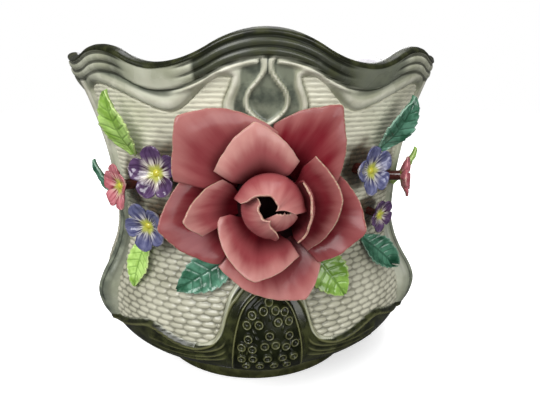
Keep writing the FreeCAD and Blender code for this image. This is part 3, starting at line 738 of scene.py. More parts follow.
    def beads(self, across: Array, height: Array) -> tuple[Array, Array]:
        """Rings and small strokes in the arch: rounded ridges on circles and on short leaning ellipses.

        Args:
            across: millimetres to the side.
            height: height above the ground.

        Returns:
            The marks, 1 on their crests, and the hollows of the rings.
        """
        marks, hollows = np.zeros_like(across), np.zeros_like(across)
        for x, z in self.rings:
            outside = np.hypot(across - x, height - z) - self.ring_radius
            marks = np.maximum(marks, bump(outside, self.ring_half))
            hollows = np.maximum(hollows, 1 - smooth(*self.hollow_edge, outside))
        narrow, long = self.tick_half
        for x, z, lean in self.ticks:
            right, up = across - x, height - z
            cross = right * math.cos(lean) - up * math.sin(lean)
            along = right * math.sin(lean) + up * math.cos(lean)
            marks = np.maximum(marks, self.tick_share * bump(np.hypot(cross / narrow, along / long), 1.0))
        return marks, hollows

    def rib(self, at: FacePoints, path: tuple, half: float) -> Array:
        """Rounded rib along a curve, the same on both sides of the face."""
        return bump(path_distance(at.side, at.height, rounded(path)), half)

    def band(self, at: FacePoints) -> dict[str, Array]:
        """Band under the rim: a wave of beads down its depth, cut by a groove at each turn.

        Args:
            at: points on the wall.

        Returns:
            Shares of the band, the beads and the grooves, and the rise.
        """
        band = 1 - smooth(self.band_depth - self.band_soft, self.band_depth + self.band_soft, at.depth)
        beaded = 1 - smooth(*self.bead_stop, at.away) + smooth(*self.bead_again, at.away)
        line = at.depth / self.bead_pitch
        groove = bump((line - np.round(line)) * self.bead_pitch, self.groove_half)
        groove = groove * smooth(*self.groove_start, at.depth)
        wave = self.bead_swell * (np.abs(np.sin(np.pi * line)) - 1) - self.bead_cut * groove
        rise = self.border_rise + band * (self.band_rise + self.bead_rise * beaded * wave)
        return {"band": band, "beaded": beaded, "groove": groove, "rise": rise}

    def drop(self, at: FacePoints, band: Array) -> dict[str, Array]:
        """Drop ornament under the crest: ribs along its lines, over a ground sunk inside its frame.

        Args:
            at: points on the wall.
            band: share of the band under the rim.

        Returns:
            Shares of the drop, its frame and its ground, and the rise.
        """
        below = 1 - band
        roll = bump(at.depth - self.band_depth - self.roll_below, self.roll_half)
        roll = np.where(at.side > self.roll_side, roll * (1 - smooth(*self.roll_stop, at.away)), 0.0)
        drop = np.maximum(self.rib(at, self.drop_rib, self.rib_half), roll) * below
        lobe = bump(at.height - curve(at.away, self.panel_top) - self.lobe_above, self.lobe_half)
        lobe = self.lobe_share * lobe * between(self.lobe_span, at.away)
        frame = np.maximum(self.rib(at, self.frame_rib, self.frame_half), lobe) * below
        edge = at.side - curve(at.height, self.drop_frame) + self.ground_inset
        sunk = 1 - smooth(-self.ground_soft, self.ground_soft, edge)
        ground = np.where(at.height > self.drop_foot, sunk, 0.0) * below
        rise = self.rib_rise * drop + self.frame_rise * frame - self.ground_sink * ground * (1 - drop)
        return {"drop": drop, "frame": frame, "ground": ground, "rise": rise}

    def arch(self, at: FacePoints, fine: bool) -> dict[str, Array]:
        """Arch over the foot: a lofted boss, ribs along its lines and rings on the fine sheet.

        Args:
            at: points on the wall.
            fine: True for the sheet over the arch.

        Returns:
            Shares of the ribs, the ground, the rings and their hollows, and the rise.
        """
        line = rounded(self.arch_rib)
        arch = self.rib(at, self.arch_rib, self.arch_half)
        outer = self.rib(at, self.arch_outer, self.outer_half)
        begin = smooth(*self.flare_start, at.side)
        flare = np.maximum.reduce([self.rib(at, path, self.flare_half) * begin for path in self.flare_ribs])
        edge = np.interp(at.height, line[::-1, 1], line[::-1, 0], right=self.outside_arch)
        inner = smooth(*self.inner_edge, edge - at.side) * smooth(*self.inner_start, at.height)
        none = np.zeros_like(at.side)
        marks = self.beads(at.across, at.height) if fine else (none, none)
        rings, hollows = (part * inner for part in marks)
        boss = np.maximum(self.medallion.over(at.side, at.height) - self.border_rise, 0.0)
        rise = boss + self.arch_rise * arch + self.outer_rise * outer + self.flare_rise * flare
        rise += self.ring_rise * rings - self.inner_sink * inner * (1 - rings)
        return {"arch": arch, "outer": outer, "flare": flare, "inner": inner, "rings": rings,
                "hollows": hollows, "rise": rise}

    def corner(self, at: FacePoints, band: Array) -> dict[str, Array]:
        """Corner between two faces: a lofted strap, a spine above it and pleats that fade up the wall.

        Args:
            at: points on the wall.
            band: share of the band under the rim.

        Returns:
            Shares of the spine and the pleats, and the rise.
        """
        strap = np.maximum(self.strap.over(at.corner, at.height) - self.border_rise, 0.0)
        spine = bump(at.corner, self.spine_half) * smooth(*self.spine_start, at.height) * (1 - band)
        pleats = np.cos(at.corner * 2 * np.pi / self.pleat_pitch) * bump(at.corner, self.pleat_half)
        pleats = pleats * between(self.pleat_span, at.height)
        rise = strap + self.spine_rise * spine + self.pleat_rise * pleats
        return {"spine": spine, "pleats": pleats, "rise": rise}

    def face(self, angle: Array, height: Array, fine: bool) -> dict[str, Array]:
        """Rise of the ornament off the wall, the sum of its forms less the sunken panel, and the glaze on it.

        Args:
            angle: angle on the pot in degrees.
            height: height above the ground.
            fine: True for the sheet over the arch, False for the wall, which is sunk under that sheet.

        Returns:
            rise in millimetres, and shares of the olive glaze, the grey wash and the relief height, which
            carries painted shade.
        """
        at = FacePoints(self.wall, angle, height)
        rim = self.band(at)
        parts = [rim, self.drop(at, rim["band"]), self.arch(at, fine), self.corner(at, rim["band"])]
        rise = sum(part["rise"] for part in parts)
        rise -= self.panel_depth * self.panel(at.offset, at.across, height, self.panel_soft)
        if not fine:
            rise -= self.patch_sink * smooth(*self.patch_soft, self.patch(at.across, height))
        form = {key: value for part in parts for key, value in part.items()}
        return {"rise": rise} | self.painting.shares(at, form, self)


@dataclass(frozen=True)
class Weave:
    """Basketwork of staggered grains that taper, finer and softer near the top."""

    pitch: float = 3.7
    pitch_level: float = 60.0
    pitch_drop: float = 1.1 / 130.0
    pitch_least: float = 0.5
    grain: float = 4.6
    stagger: float = 0.5
    stray: tuple = (0.13, 2.4)
    sway: tuple = (0.03, 1.9)
    fade: float = 0.62
    fade_span: tuple = (105.0, 165.0)
    taper_least: float = 0.1
    roundness: float = 0.75
    end_height: float = 0.3

    def strands(self, offset: Array, height: Array) -> Array:
        """Height of the strands: courses whose pitch falls with the height, each cut into pillows.

        Args:
            offset: angle from the middle of the face.
            height: height above the ground.

        Returns:
            0 in the joints to 1 on the strands.
        """
        pitch = np.clip(self.pitch - self.pitch_drop * (height - self.pitch_level), self.pitch_least, None)
        course = -np.log(pitch) / self.pitch_drop
        row = np.floor(course)
        across = course - row - 0.5
        along = offset / self.grain + self.stagger * (row % 2) + self.stray[0] * np.sin(row * self.stray[1])
        along = along + self.sway[0] * np.sin(offset * self.sway[1] + row)
        along = along - np.floor(along) - 0.5
        clear = 1 - self.fade * smooth(*self.fade_span, height)
        taper = 1 - clear * np.abs(2 * along) ** 3
        arc = 1 - (2 * across) ** 2 / np.clip(taper, self.taper_least, None)
        pillow = np.clip(arc, 0, 1) ** self.roundness
        return pillow * (self.end_height + (1 - self.end_height) * taper)


@dataclass
class Vessel:
    """The cast pot: its closed wall with the moulded relief, and the basketwork panels set in it."""

    wall: Wall = Wall()
    slot: str = "body_glaze"
    columns: int = 600
    # Foot, from the recess to the neck, with the shares of its glazes and the painted shade at its neck
    foot_bevel: tuple = (1.0, 0.6)
    foot_turns: tuple = (0.4, 0.8, 1.2, 1.57)
    foot_middle: float = 4.0
    neck_bevel: float = 0.4
    foot_glaze: tuple = (("olive", 0.85), ("wash", 0.3), ("crest", 0.5))
    # the last two rings of the neck are dark as painted shade under the belly
    neck_crest_and_shade: tuple = (0.6, -1.2, -1.6)
    # Rows of the wall at fixed heights, then up to the rim, over the lip and down the inside
    row_runs: tuple = ((9.2, 26.0, 2.0), (26.0, 98.0, 1.4), (98.0, 172.0, 7.0))
    rim_start: float = 6.0
    rim_rows: int = 50
    lip_rise: float = 3.0
    lip_rows: int = 9
    lip_glazed: int = 4
    inner_rows: int = 16
    floor_shares: tuple = (0.75, 0.4)
    # Sheets of basketwork: span in degrees and height, rise of the strands and where they soften
    weave_columns: int = 323
    weave_rows: int = 280
    weave_span: float = 57.6
    weave_low: float = 43.0
    weave_high: float = 206.0
    weave_ground: float = -0.3
    weave_sunk: float = -3.2
    weave_soft: float = 2.4
    weave_rise: tuple = (1.05, 0.45)
    weave_fade: tuple = (95.0, 170.0)
    joint_fade: float = 0.4
    joint_span: tuple = (100.0, 165.0)
    # painted shade: the strands darken towards the bottom over this span of heights
    belly_shade_span: tuple = (70.0, 190.0)
    # Smears of dark clay at the feet of the stalks, partly painted shade under the flowers
    pad_radius: float = 17.0
    pad_core: float = 0.45
    pad_tall: float = 1.25
    pad_wave: float = 0.18
    pad_waves: tuple = (4.0, 7.0)
    # Fine sheets over the arches, and the coarse backs of all sheets
    patch_columns: int = 196
    patch_rows: int = 148
    patch_edge: float = 0.9
    patch_dip: float = 3.0
    back_rise: float = -4.2
    weave_step: int = 23
    patch_step: int = 15

    def ring(self, value: float) -> Array:
        """The same value all round the pot."""
        return np.full(self.columns, value)

    def foot(self) -> list:
        """Radius and height of each ring of the recess and the foot, whose outer edge is a quarter round.

        Returns:
            Pairs of a radius and a height.
        """
        step, neck = self.wall.foot_round, self.wall.neck[1]
        outer, inner = self.wall.foot_radius, self.wall.foot_radius - self.wall.ring_width
        in_bevel, up_bevel = self.foot_bevel
        rings = [(inner, self.wall.recess), (inner, up_bevel), (inner + in_bevel, 0.0), (outer - step, 0.0)]
        for turn in self.foot_turns:
            rings.append((outer - step * (1 - math.sin(turn)), step * (1 - math.cos(turn))))
        rings += [(outer, self.foot_middle), (outer, neck - step)]
        rings += [(outer - self.neck_bevel, neck - self.neck_bevel), (outer - step, neck)]
        return rings

    def outside(self, angle: Array, top: Array) -> tuple[list, list, dict]:
        """Rows of the foot and of the moulded wall up to the lip.

        Args:
            angle: angle of every column.
            top: height of the rim at every column.

        Returns:
            Radii, heights and shares of the glazes, row after row.
        """
        rings = self.foot()
        radii = [self.ring(radius) for radius, _ in rings]
        levels = [self.ring(height) for _, height in rings]
        glaze = {key: [self.ring(share) for _ in rings] for key, share in self.foot_glaze}
        # painted shade: the top rings of the neck go dark under the belly
        glaze["crest"][-len(self.neck_crest_and_shade):] = [self.ring(share) for share in self.neck_crest_and_shade]
        low = np.concatenate([np.arange(*run) for run in self.row_runs])
        last = low[-1] + self.rim_start
        climb = [self.ring(height) for height in low]
        shares = np.linspace(0.0, 1.0, self.rim_rows)
        climb += [last + share * (top - self.lip_rise - last) for share in shares]
        heights = np.array(climb)
        shape = Relief(self.wall).face(np.broadcast_to(angle, heights.shape), heights, False)
        radii += list(self.wall.radius(heights) + shape["rise"])
        for key in glaze:
            glaze[key] += list(shape[key])
        return radii, levels + climb, glaze

    def inside(self, outer: Array, top: Array) -> tuple[list, list]:
        """Rows of the lip, which is half an ellipse, of the plain inside and of the floor.

        Args:
            outer: radius of the wall under the lip.
            top: height of the rim at every column.

        Returns:
            Radii and heights, row after row.
        """
        wall, brim = self.wall, top - self.lip_rise
        inner = wall.radius(brim, wall.thickness, wall.floor)
        radii, levels = [], []
        for turn in np.linspace(0.0, np.pi, self.lip_rows)[1:]:
            radii.append((outer + inner) / 2 + (outer - inner) / 2 * np.cos(turn))
            levels.append(brim + self.lip_rise * np.sin(turn))
        for share in np.linspace(0.0, 1.0, self.inner_rows)[1:]:
            height = brim * (1 - share) + wall.floor * share
            radii.append(wall.radius(height, wall.thickness, wall.floor))
            levels.append(height)
        for share in self.floor_shares:
            radii.append(self.ring((wall.neck[0] - wall.thickness) * share))
            levels.append(self.ring(wall.floor))
        return radii, levels

    def body(self) -> None:
        """Closed surface of the pot: rings from its underside over the rim to its floor."""
        wall = self.wall
        angle = np.arange(self.columns) * 360.0 / self.columns - 180.0
        top = wall.top(face_offset(angle))
        radii, levels, glaze = self.outside(angle, top)
        count = len(radii)
        inner_radii, inner_levels = self.inside(radii[-1], top)
        radii, levels = radii + inner_radii, levels + inner_levels
        rows = len(radii)
        points = wall.place(angle, np.array(radii), np.array(levels)).reshape(-1, 3)
        poles = np.array([[0.0, 0.0, wall.recess], [0.0, 0.0, wall.floor]])
        faces = quads(rows, self.columns, wrap=True).tolist() + pole_faces(rows, self.columns)
        within = np.zeros((rows, self.columns))
        within[count + self.lip_glazed:] = 1.0
        values = {"within": np.append(within.ravel(), [0.0, 1.0])}
        for key, row in glaze.items():
            lip = [row[-1]] * self.lip_glazed
            bare = [self.ring(0.0)] * (rows - count - self.lip_glazed)
            values[key] = np.append(np.array(row + lip + bare).ravel(), [1.0 if key == "olive" else 0.0, 0.0])
        piece = put_piece("pot_wall", np.vstack([points, poles]), faces, values, self.slot)
        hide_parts("pot_body")

    def panel(self, index: int) -> None:
        """Closed sheet of basketwork of one face, raised by the weave and sunk in the wall outside its panel.

        Args:
            index: number of the face from 0, the front.
        """
        wide = np.linspace(-self.weave_span, self.weave_span, self.weave_columns)
        offset, height = np.meshgrid(wide, np.linspace(self.weave_low, self.weave_high, self.weave_rows))
        across = np.radians(offset) * self.wall.radius(height)
        inside = Relief(self.wall).panel(offset, across, height, self.weave_soft)
        strands = Weave().strands(offset, height)
        amount = self.weave_rise[0] - self.weave_rise[1] * smooth(*self.weave_fade, height)
        rise = self.weave_sunk + (self.weave_ground + amount * strands - self.weave_sunk) * inside
        shown = 1 - (1 - strands) * (1 - self.joint_fade * smooth(*self.joint_span, height))
        values = {
            "strand": shown * inside,
            # painted shade: 1 low on the wall, 0 high up
            "belly": 1 - smooth(*self.belly_shade_span, height),
            "pad": self.pads_and_shade(offset, height) if index == 0 else np.zeros_like(height),
        }
        angle = offset + index * FACE_SPAN
        self.sheet(f"pot_basketwork_{index + 1}", angle, height, rise, values, self.weave_step)

    def pads_and_shade(self, offset: Array, height: Array) -> Array:
        """Share of the dark clay and glaze smeared round the foot of each flower's stalk, partly painted
        shade under the flower: wavy discs.

        Args:
            offset: angle from the middle of the front.
            height: height above the ground.

        Returns:
            1 in the middle of a smear to 0 outside it.
        """
        posy = Posy()
        share = np.zeros_like(height)
        wave_across, wave_up = self.pad_waves
        for flower in posy.flowers:
            level = posy.rose.height + flower.up * posy.rose.radius
            across = np.radians(offset) * self.wall.radius(level) - flower.right * posy.rose.radius
            distance = np.hypot(across, (height - level) / self.pad_tall)
            waves = ripple(offset / wave_across, height / wave_up, flower.turn)
            distance = distance * (1 + self.pad_wave * waves)
            disc = 1 - smooth(self.pad_radius * self.pad_core, self.pad_radius * flower.size, distance)
            share = np.maximum(share, disc)
        return share

    def arch(self, index: int) -> None:
        """Closed fine sheet over the arch of one face, with its rings; its edge dips under the wall.

        Args:
            index: number of the face from 0, the front.
        """
        relief = Relief(self.wall)
        wide = np.linspace(-relief.patch_half, relief.patch_half, self.patch_columns)
        across, height = np.meshgrid(wide, np.linspace(*relief.patch_span, self.patch_rows))
        angle = np.degrees(across / self.wall.radius(height)) + index * FACE_SPAN
        shape = relief.face(angle, height, True)
        inside = smooth(0.0, self.patch_edge, relief.patch(across, height))
        rise = shape.pop("rise") + relief.patch_lift - self.patch_dip * (1 - inside)
        values = shape | {"within": np.zeros_like(rise)}
        self.sheet(f"pot_arch_{index + 1}", angle, height, rise, values, self.patch_step)

    def sheet(self, name: str, angle: Array, height: Array, rise: Array, values: dict, step: int) -> None:
        """Closed sheet on the wall: a fine front grid and a coarse back inside the wall that shares its edge.

        Args:
            name: name of the piece.
            angle: angle of every point in degrees.
            height: height of every point.
            rise: rise of the front off the plain wall.
            values: named value for every point of the front.
            step: columns of the front to each column of the back.
        """
        radius = self.wall.radius(height)
        front = self.wall.place(angle, radius + rise, height)
        keep = np.arange(0, front.shape[1], step)
        back = self.wall.place(angle[:, keep], radius[:, keep] + self.back_rise, height[:, keep])
        size = front.shape[0] * front.shape[1]
        number = np.arange(size).reshape(front.shape[:2])
        coarse = number[:, keep].copy()
        middle = coarse[1:-1, 1:-1]
        middle[:] = size + np.arange(middle.size).reshape(middle.shape)
        corners = [coarse[:-1, 1:], coarse[:-1, :-1], coarse[1:, :-1], coarse[1:, 1:]]
        faces = quads(*front.shape[:2]).tolist() + np.stack(corners, -1).reshape(-1, 4).tolist()
        for left, right in zip(keep[:-1], keep[1:]):
            faces.append(number[0, left:right + 1][::-1].tolist())
            faces.append(number[-1, left:right + 1].tolist())
        points = np.vstack([front.reshape(-1, 3), back[1:-1, 1:-1].reshape(-1, 3)])
        spare = np.zeros(points.shape[0] - size)
        values = {key: np.append(value.ravel(), spare) for key, value in values.items()}
        put_piece(name, points, faces, values, self.slot)

    def build(self) -> None:
        """Make the wall, and the basketwork and the arch of each face."""
        self.body()
        for index in range(FACES):
            self.panel(index)
            self.arch(index)


@dataclass
class Petal:
    """One petal of the rose, drawn round its axis in shares of the rose's radius and depth."""

    name: str
    angle: float
    spread: float
    base: tuple
    edge: tuple
    cup: float
    curl: float
    corner: float
    peak: float
    # tone and pale: each petal's lightness and pale tip, partly its own colour and partly painted light and
    # shade for how it lies in the light
    tone: float
    pale: float
    roll: float = 0.0
    side: float = 0.0
    skew: float = 0.0
    worn: float = 1.0
    shift: tuple = (0.0, 0.0)


@dataclass
class Rose:
    """The open rose: thirteen curled petals of thin clay round a heart glazed near black as painted shade."""

    wall: Wall = Wall()
    sizes: RoseSizes = RoseSizes()
    slot: str = "rose_glaze"
    rows: int = 34
    columns: int = 61
    # Edge: the power of its fall to the sides, how round its peak is, and its long and short waves
    power: float = 0.95
    peak_round: float = 0.001
    edge_wave: tuple = (0.020, 2.6)
    edge_jag: tuple = (0.009, 7.3)
    jag_full: float = 1.6
    # Bow of the blade: waves, and how the edge and the sides roll over
    blade_wave: tuple = (0.022, 2.2, 1.4)
    roll_start: float = 0.72
    roll_gain: float = 8.0
    side_power: float = 2.4
    side_roll: float = 0.7
    side_start: float = 0.84
    # Thickness in shares, and where it thins to the edge and the sides
    blade_share: float = 0.95
    edge_thin: float = 0.5
    edge_thin_from: float = 0.55
    side_thin: float = 0.35
    narrow_base: float = 0.78
    wide_from: float = 0.55
    shift_from: float = 0.2
    worn_edge: float = 0.93
    worn_side: float = 0.95
    worn_side_share: float = 0.8
    seed_step: float = 0.37
    petals: tuple = (
        Petal("rose_inner_petal_1", 178, 58, (0.1, 0.44), (0.04, 0.86), 0.31, -0.02, 0.06, 0.0, 0.8, 0.9,
              0.02, worn=0.7, shift=(0.10, 0.02)),
        Petal("rose_inner_petal_2", 244, 66, (0.155, 0.39), (0.06, 0.93), 0.26, -0.03, 0.14, -0.2, 0.60, 0.62,
              0.13, worn=0.8, shift=(0.04, -0.02)),
        Petal("rose_inner_petal_3", 11, 82, (0.19, 0.325), (0.02, 0.97), 0.30, -0.04, 0.22, 0.55, 0.50, 0.62,
              0.12, worn=0.5, shift=(-0.01, -0.01), skew=0.3),
        Petal("rose_inner_petal_4", 96, 46, (0.235, 0.285), (0.31, 0.9), 0.14, -0.02, 0.16, 0.0, 0.30,
              0.45, worn=0.8),
        Petal("rose_middle_petal_1", -10, 46, (0.23, 0.27), (0.65, 0.72), -0.02, 0.10, 0.46, 0.02, 1.0, 1.1,
              0.12, side=0.05, skew=0.2),
        Petal("rose_middle_petal_2", 203, 54, (0.23, 0.27), (0.58, 0.68), 0.16, 0.10, 0.52, -0.2, 0.45, 0.75,
              0.10, side=0.02),
        Petal("rose_middle_petal_3", 92, 48, (0.27, 0.21), (0.58, 0.64), 0.17, 0.04, 0.32, -0.1, 0.15, 0.40,
              0.10, side=-0.05, skew=0.2),
        Petal("rose_middle_petal_4", 274, 27, (0.26, 0.215), (0.69, 0.63), 0.10, 0.06, 0.46, -0.45, 0.50,
              0.70, 0.03, side=-0.02),
        Petal("rose_outer_petal_1", -32, 42, (0.31, 0.175), (1.03, 0.64), -0.03, 0.04, 0.46, -0.28, 0.40,
              0.45, 0.05, side=0.06),
        Petal("rose_outer_petal_2", 40, 35, (0.33, 0.125), (1.02, 0.57), -0.03, 0.04, 0.54, -0.1, 0.10, 0.35,
              0.05, side=0.04),
        Petal("rose_outer_petal_3", 102, 38, (0.34, 0.06), (0.89, 0.43), 0.08, 0.06, 0.40, 0.1, 0.15, 0.20,
              0.04, side=-0.03),
        Petal("rose_outer_petal_4", 176, 42, (0.37, 0.01), (0.93, 0.34), 0.08, 0.06, 0.52, -0.42, 0.45, 0.55,
              0.05, side=-0.03, skew=-0.42),
        Petal("rose_outer_petal_5", 256, 38, (0.37, 0.05), (0.96, 0.36), 0.06, 0.06, 0.46, 0.07, 0.20, 0.20,
              0.05, side=-0.02),
    )

    def axes(self) -> tuple[Array, Array]:
        """Foot and axes of the rose on the wall.

        Returns:
            The foot, and columns to the side, up the rose and out along its axis.
        """
        lean = math.radians(self.sizes.tilt)
        axis = np.array([0.0, -math.cos(lean), math.sin(lean)])
        side = np.array([1.0, 0.0, 0.0])
        foot = np.array([0.0, -float(self.wall.radius(self.sizes.height)), self.sizes.height])
        return foot, np.stack([side, np.cross(axis, side), axis], -1)

    def line(self, petal: Petal, number: int, along: Array, across: Array) -> Array:
        """Bowed lines of a petal from its base to its edge.

        A line leaves its chord by four times the cup times a(1 - a), plus the
        curl times a^5, waves and the rolled lip. It stops short to the sides by
        the corner share of the distance from the peak to a power a little
        under one.

        Args:
            petal: the petal.
            number: number of the petal, which shifts its waves.
            along: share from the base to the edge.
            across: share from one side to the other.

        Returns:
            Distance from the axis and depth along it for every point.
        """
        start = np.array([petal.base[0] * self.sizes.radius, petal.base[1] * self.sizes.depth])
        chord = np.array([petal.edge[0] * self.sizes.radius, petal.edge[1] * self.sizes.depth]) - start
        length = float(np.linalg.norm(chord))
        normal = np.array([chord[1], -chord[0]]) / length
        fall = petal.corner * (1 + petal.skew * np.sign(across - petal.peak))
        reach = 1 - fall * (np.abs(across - petal.peak) ** 2 + self.peak_round) ** (self.power / 2)
        level = np.zeros_like(across)
        jag = self.edge_jag[0] * min(1.0, self.jag_full * petal.edge[0])
        waves = self.edge_wave[0] * ripple(across * self.edge_wave[1], level, number)
        a = along * reach * (1 + waves + jag * ripple(across * self.edge_jag[1], level, number + 0.3))
        bow = 4 * petal.cup * a * (1 - a) + petal.curl * a ** 5
        bow += petal.roll * np.clip(along - self.roll_start, 0, 1) ** 2 * self.roll_gain
        size, wide, long = self.blade_wave
        bow += size * ripple(across * wide, a * long, number + 0.5) * a ** 2
        bow += petal.side * np.abs(across) ** self.side_power * a
        lip = np.clip((np.abs(across) - self.side_start) / (1 - self.side_start), 0, 1)
        bow += petal.roll * self.side_roll * lip ** 2 * a
        return start + chord * a[..., None] + normal * (bow * length)[..., None]

    def petal(self, petal: Petal, number: int) -> None:
        """One petal: its bowed lines swept round the axis and thickened to both sides.

        Args:
            petal: the petal.
            number: number of the petal.
        """
        along, across = grid(self.rows, self.columns)
        line = self.line(petal, number, along, across)
        slope = np.gradient(line, axis=0)
        slope /= np.linalg.norm(slope, axis=-1, keepdims=True) + 1e-9
        share = self.blade_share - self.edge_thin * smooth(self.edge_thin_from, 1.0, along)
        thick = self.sizes.thickness / 2 * share * (1 - self.side_thin * np.abs(across) ** 6)
        wide = self.narrow_base + (1 - self.narrow_base) * smooth(0.0, self.wide_from, along)
        turn = np.radians(petal.angle + petal.spread * across * wide)
        foot, axes = self.axes()
        drift = self.sizes.radius * smooth(self.shift_from, 1.0, along)
        sides = []
        for sign in (1.0, -1.0):
            out = line[..., 0] - sign * slope[..., 1] * thick
            up = line[..., 1] + sign * slope[..., 0] * thick
            right = out * np.sin(turn) + drift * petal.shift[0]
            above = out * np.cos(turn) + drift * petal.shift[1]
            sides.append(foot + np.stack([right, above, up], -1) @ axes.T)
        points, faces = shell_faces(sides[0], sides[1])
        side_edge = self.worn_side_share * smooth(self.worn_side, 1.0, np.abs(across))
        edge = np.maximum(smooth(self.worn_edge, 1.0, along), side_edge)
        values = {"along": both(along), "across": both(across), "edge": both(edge)}
        own = {"tone": petal.tone, "pale": petal.pale, "worn": petal.worn, "seed": number * self.seed_step}
        values |= {key: np.full(points.shape[0], value) for key, value in own.items()}
        piece = put_piece(f"{petal.name}_clay", points, faces, values, self.slot)
        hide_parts(petal.name)

    def build(self) -> None:
        """Make all the petals."""
        for number, petal in enumerate(self.petals):
            self.petal(petal, number)


@dataclass
class Blossom:
    """A violet or small blossom on its stalk, in rose radii from the rose."""

    name: str
    right: float
    up: float
    stand: float
    facing: float
    lift: float
    turn: float
    size: float
    slot: str


@dataclass
class Posy:
    """The violets and blossoms at both sides of the rose; shares are of a flower's radius."""

    wall: Wall = Wall()
    rose: RoseSizes = RoseSizes()
    radius: float = 14.5
    thickness: float = 1.7
    petals: int = 5
    rows: int = 24
    columns: int = 17
    outline: tuple = ((0.0, 0.10), (0.12, 0.16), (0.3, 0.29), (0.52, 0.40), (0.74, 0.40), (0.9, 0.25),
                      (1.0, 0.05))
    rising: tuple = ((0.0, 0.10), (0.12, 0.12), (0.42, 0.20), (0.76, 0.34), (1.0, 0.42))
    reach: tuple = (0.06, 0.98, 0.05)
    side_wave: float = 0.05
    cup: float = 0.11
    crease: float = 0.045
    crease_half: float = 0.35
    blade_wave: float = 0.03
    tip_fall: float = 0.8
    tip_start: float = 0.8
    edge_thin: float = 0.5
    edge_thin_from: float = 0.6
    side_thin: float = 0.4
    seed_step: float = 0.23
    eye: float = 0.1584
    eye_level: float = 0.12
    eye_flat: float = 0.75
    eye_tilt: float = 1.35
    eye_rows: int = 9
    eye_columns: int = 20
    flowers: tuple = (
        Blossom("violet_left_upper", -0.915, 0.313, 0.72, -24, 6, 8, 1.0, "violet_glaze"),
        Blossom("violet_left_lower", -1.085, -0.257, 0.62, -30, -4, 24, 0.98, "blue_glaze"),
        Blossom("blossom_left", -1.43, 0.103, 0.6, -50, 2, 0, 0.95, "pink_glaze"),
        Blossom("violet_right_upper", 0.961, 0.291, 0.6, 34, 2, 12, 0.98, "blue_glaze"),
        Blossom("violet_right_lower", 1.208, -0.234, 0.5, 34, -6, 30, 0.72, "violet_glaze"),
        Blossom("blossom_right", 1.50, 0.156, 0.72, 62, 4, 20, 0.9, "pink_glaze"),
    )

    def petal(self, radius: float, number: int, seed: int) -> tuple[Array, list, dict]:
        """One petal in the flower's own axes: an outline along its middle line, cupped, creased and tipped.

        Args:
            radius: radius of the flower.
            number: number of the petal.
            seed: number of the flower.

        Returns:
            Points, faces and named values of the petal.
        """
        along, across = grid(self.rows, self.columns)
        start, length, vary = self.reach
        reach = radius * (start + (length + vary * math.sin(seed * 2.1 + number * 1.9)) * along)
        wave = self.side_wave * ripple(along * 5, across, seed + number)
        half = curve(along, self.outline) * radius * (1 + wave)
        swell = np.sin(np.pi * along)
        rise = curve(along, self.rising) * radius + self.cup * radius * across ** 2 * swell
        rise -= self.crease * radius * bump(across, self.crease_half) * swell
        rise += self.blade_wave * radius * ripple(across * 2, along * 4, number) * along
        rise -= self.tip_fall * radius * np.clip(along - self.tip_start, 0, 1) ** 2
        share = 1.0 - self.edge_thin * smooth(self.edge_thin_from, 1.0, along)
        thick = self.thickness / 2 * share * (1 - self.side_thin * across ** 6)
        turn = math.radians(360.0 / self.petals * number)
        right = reach * math.sin(turn) + half * across * math.cos(turn)
        up = reach * math.cos(turn) - half * across * math.sin(turn)
        front, back = (np.stack([right, up, rise + sign * thick], -1) for sign in (1, -1))
        points, faces = shell_faces(front, back)
        place = np.full(points.shape[0], seed + number * self.seed_step)
        return points, faces, {"along": both(along), "across": both(across), "seed": place}

    def dome(self, radius: float, seed: int) -> tuple[Array, list, dict]:
        """Domed eye of the flower: rings of a flattened ball closed at both poles.

        Args:
            radius: radius of the flower.
            seed: number of the flower.

        Returns:
            Points, faces and named values of the eye.
        """
        rows, columns = self.eye_rows, self.eye_columns
        tilt, turn = np.meshgrid(np.linspace(-self.eye_tilt, self.eye_tilt, rows),
                                 np.arange(columns) * 2 * np.pi / columns, indexing="ij")
        size, level = self.eye * radius, self.eye_level * radius
        tall = self.eye_flat * size
        wide = size * np.cos(tilt)
        ball = np.stack([wide * np.cos(turn), wide * np.sin(turn), level + tall * np.sin(tilt)], -1)
        points = np.vstack([ball.reshape(-1, 3), [[0, 0, level - tall], [0, 0, level + tall]]])
        faces = quads(rows, columns, wrap=True).tolist() + pole_faces(rows, columns)
        own = {"along": -1.0, "across": 0.0, "seed": float(seed)}
        return points, faces, {key: np.full(points.shape[0], value) for key, value in own.items()}

    def flower(self, flower: Blossom, seed: int) -> None:
        """Five pointed petals round a small domed eye, faced and turned as the flower stands.

        Args:
            flower: the flower.
            seed: number of the flower.
        """
        radius = self.radius * flower.size
        centre, axes = self.wall.spot(flower.right, flower.up, self.rose, 0.0)
        spot = centre + axes[:, 2] * flower.stand * self.radius
        face, lift, spin = (math.radians(angle) for angle in (flower.facing, flower.lift, flower.turn))
        facing = np.array([math.sin(face) * math.cos(lift), -math.cos(face) * math.cos(lift), math.sin(lift)])
        level = np.cross([0.0, 0.0, 1.0], facing)
        level /= np.linalg.norm(level)
        frame = np.stack([level, np.cross(facing, level), facing], -1)
        cos, sin = math.cos(spin), math.sin(spin)
        swing = np.array([[cos, -sin, 0], [sin, cos, 0], [0, 0, 1]])
        parts = [self.petal(radius, number, seed) for number in range(self.petals)]
        parts.append(self.dome(radius, seed))
        faces, count = [], 0
        for points, own_faces, _ in parts:
            faces += [[corner + count for corner in corners] for corners in own_faces]
            count += points.shape[0]
        whole = spot + np.vstack([points for points, _, _ in parts]) @ swing.T @ frame.T
        keys = ("along", "across", "seed")
        values = {key: np.concatenate([own[key] for _, _, own in parts]) for key in keys}
        piece = put_piece(f"{flower.name}_clay", whole, faces, values, flower.slot)
        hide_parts(flower.name)

    def build(self) -> None:
        """Make all the flowers."""
        for seed, flower in enumerate(self.flowers):
            self.flower(flower, seed)


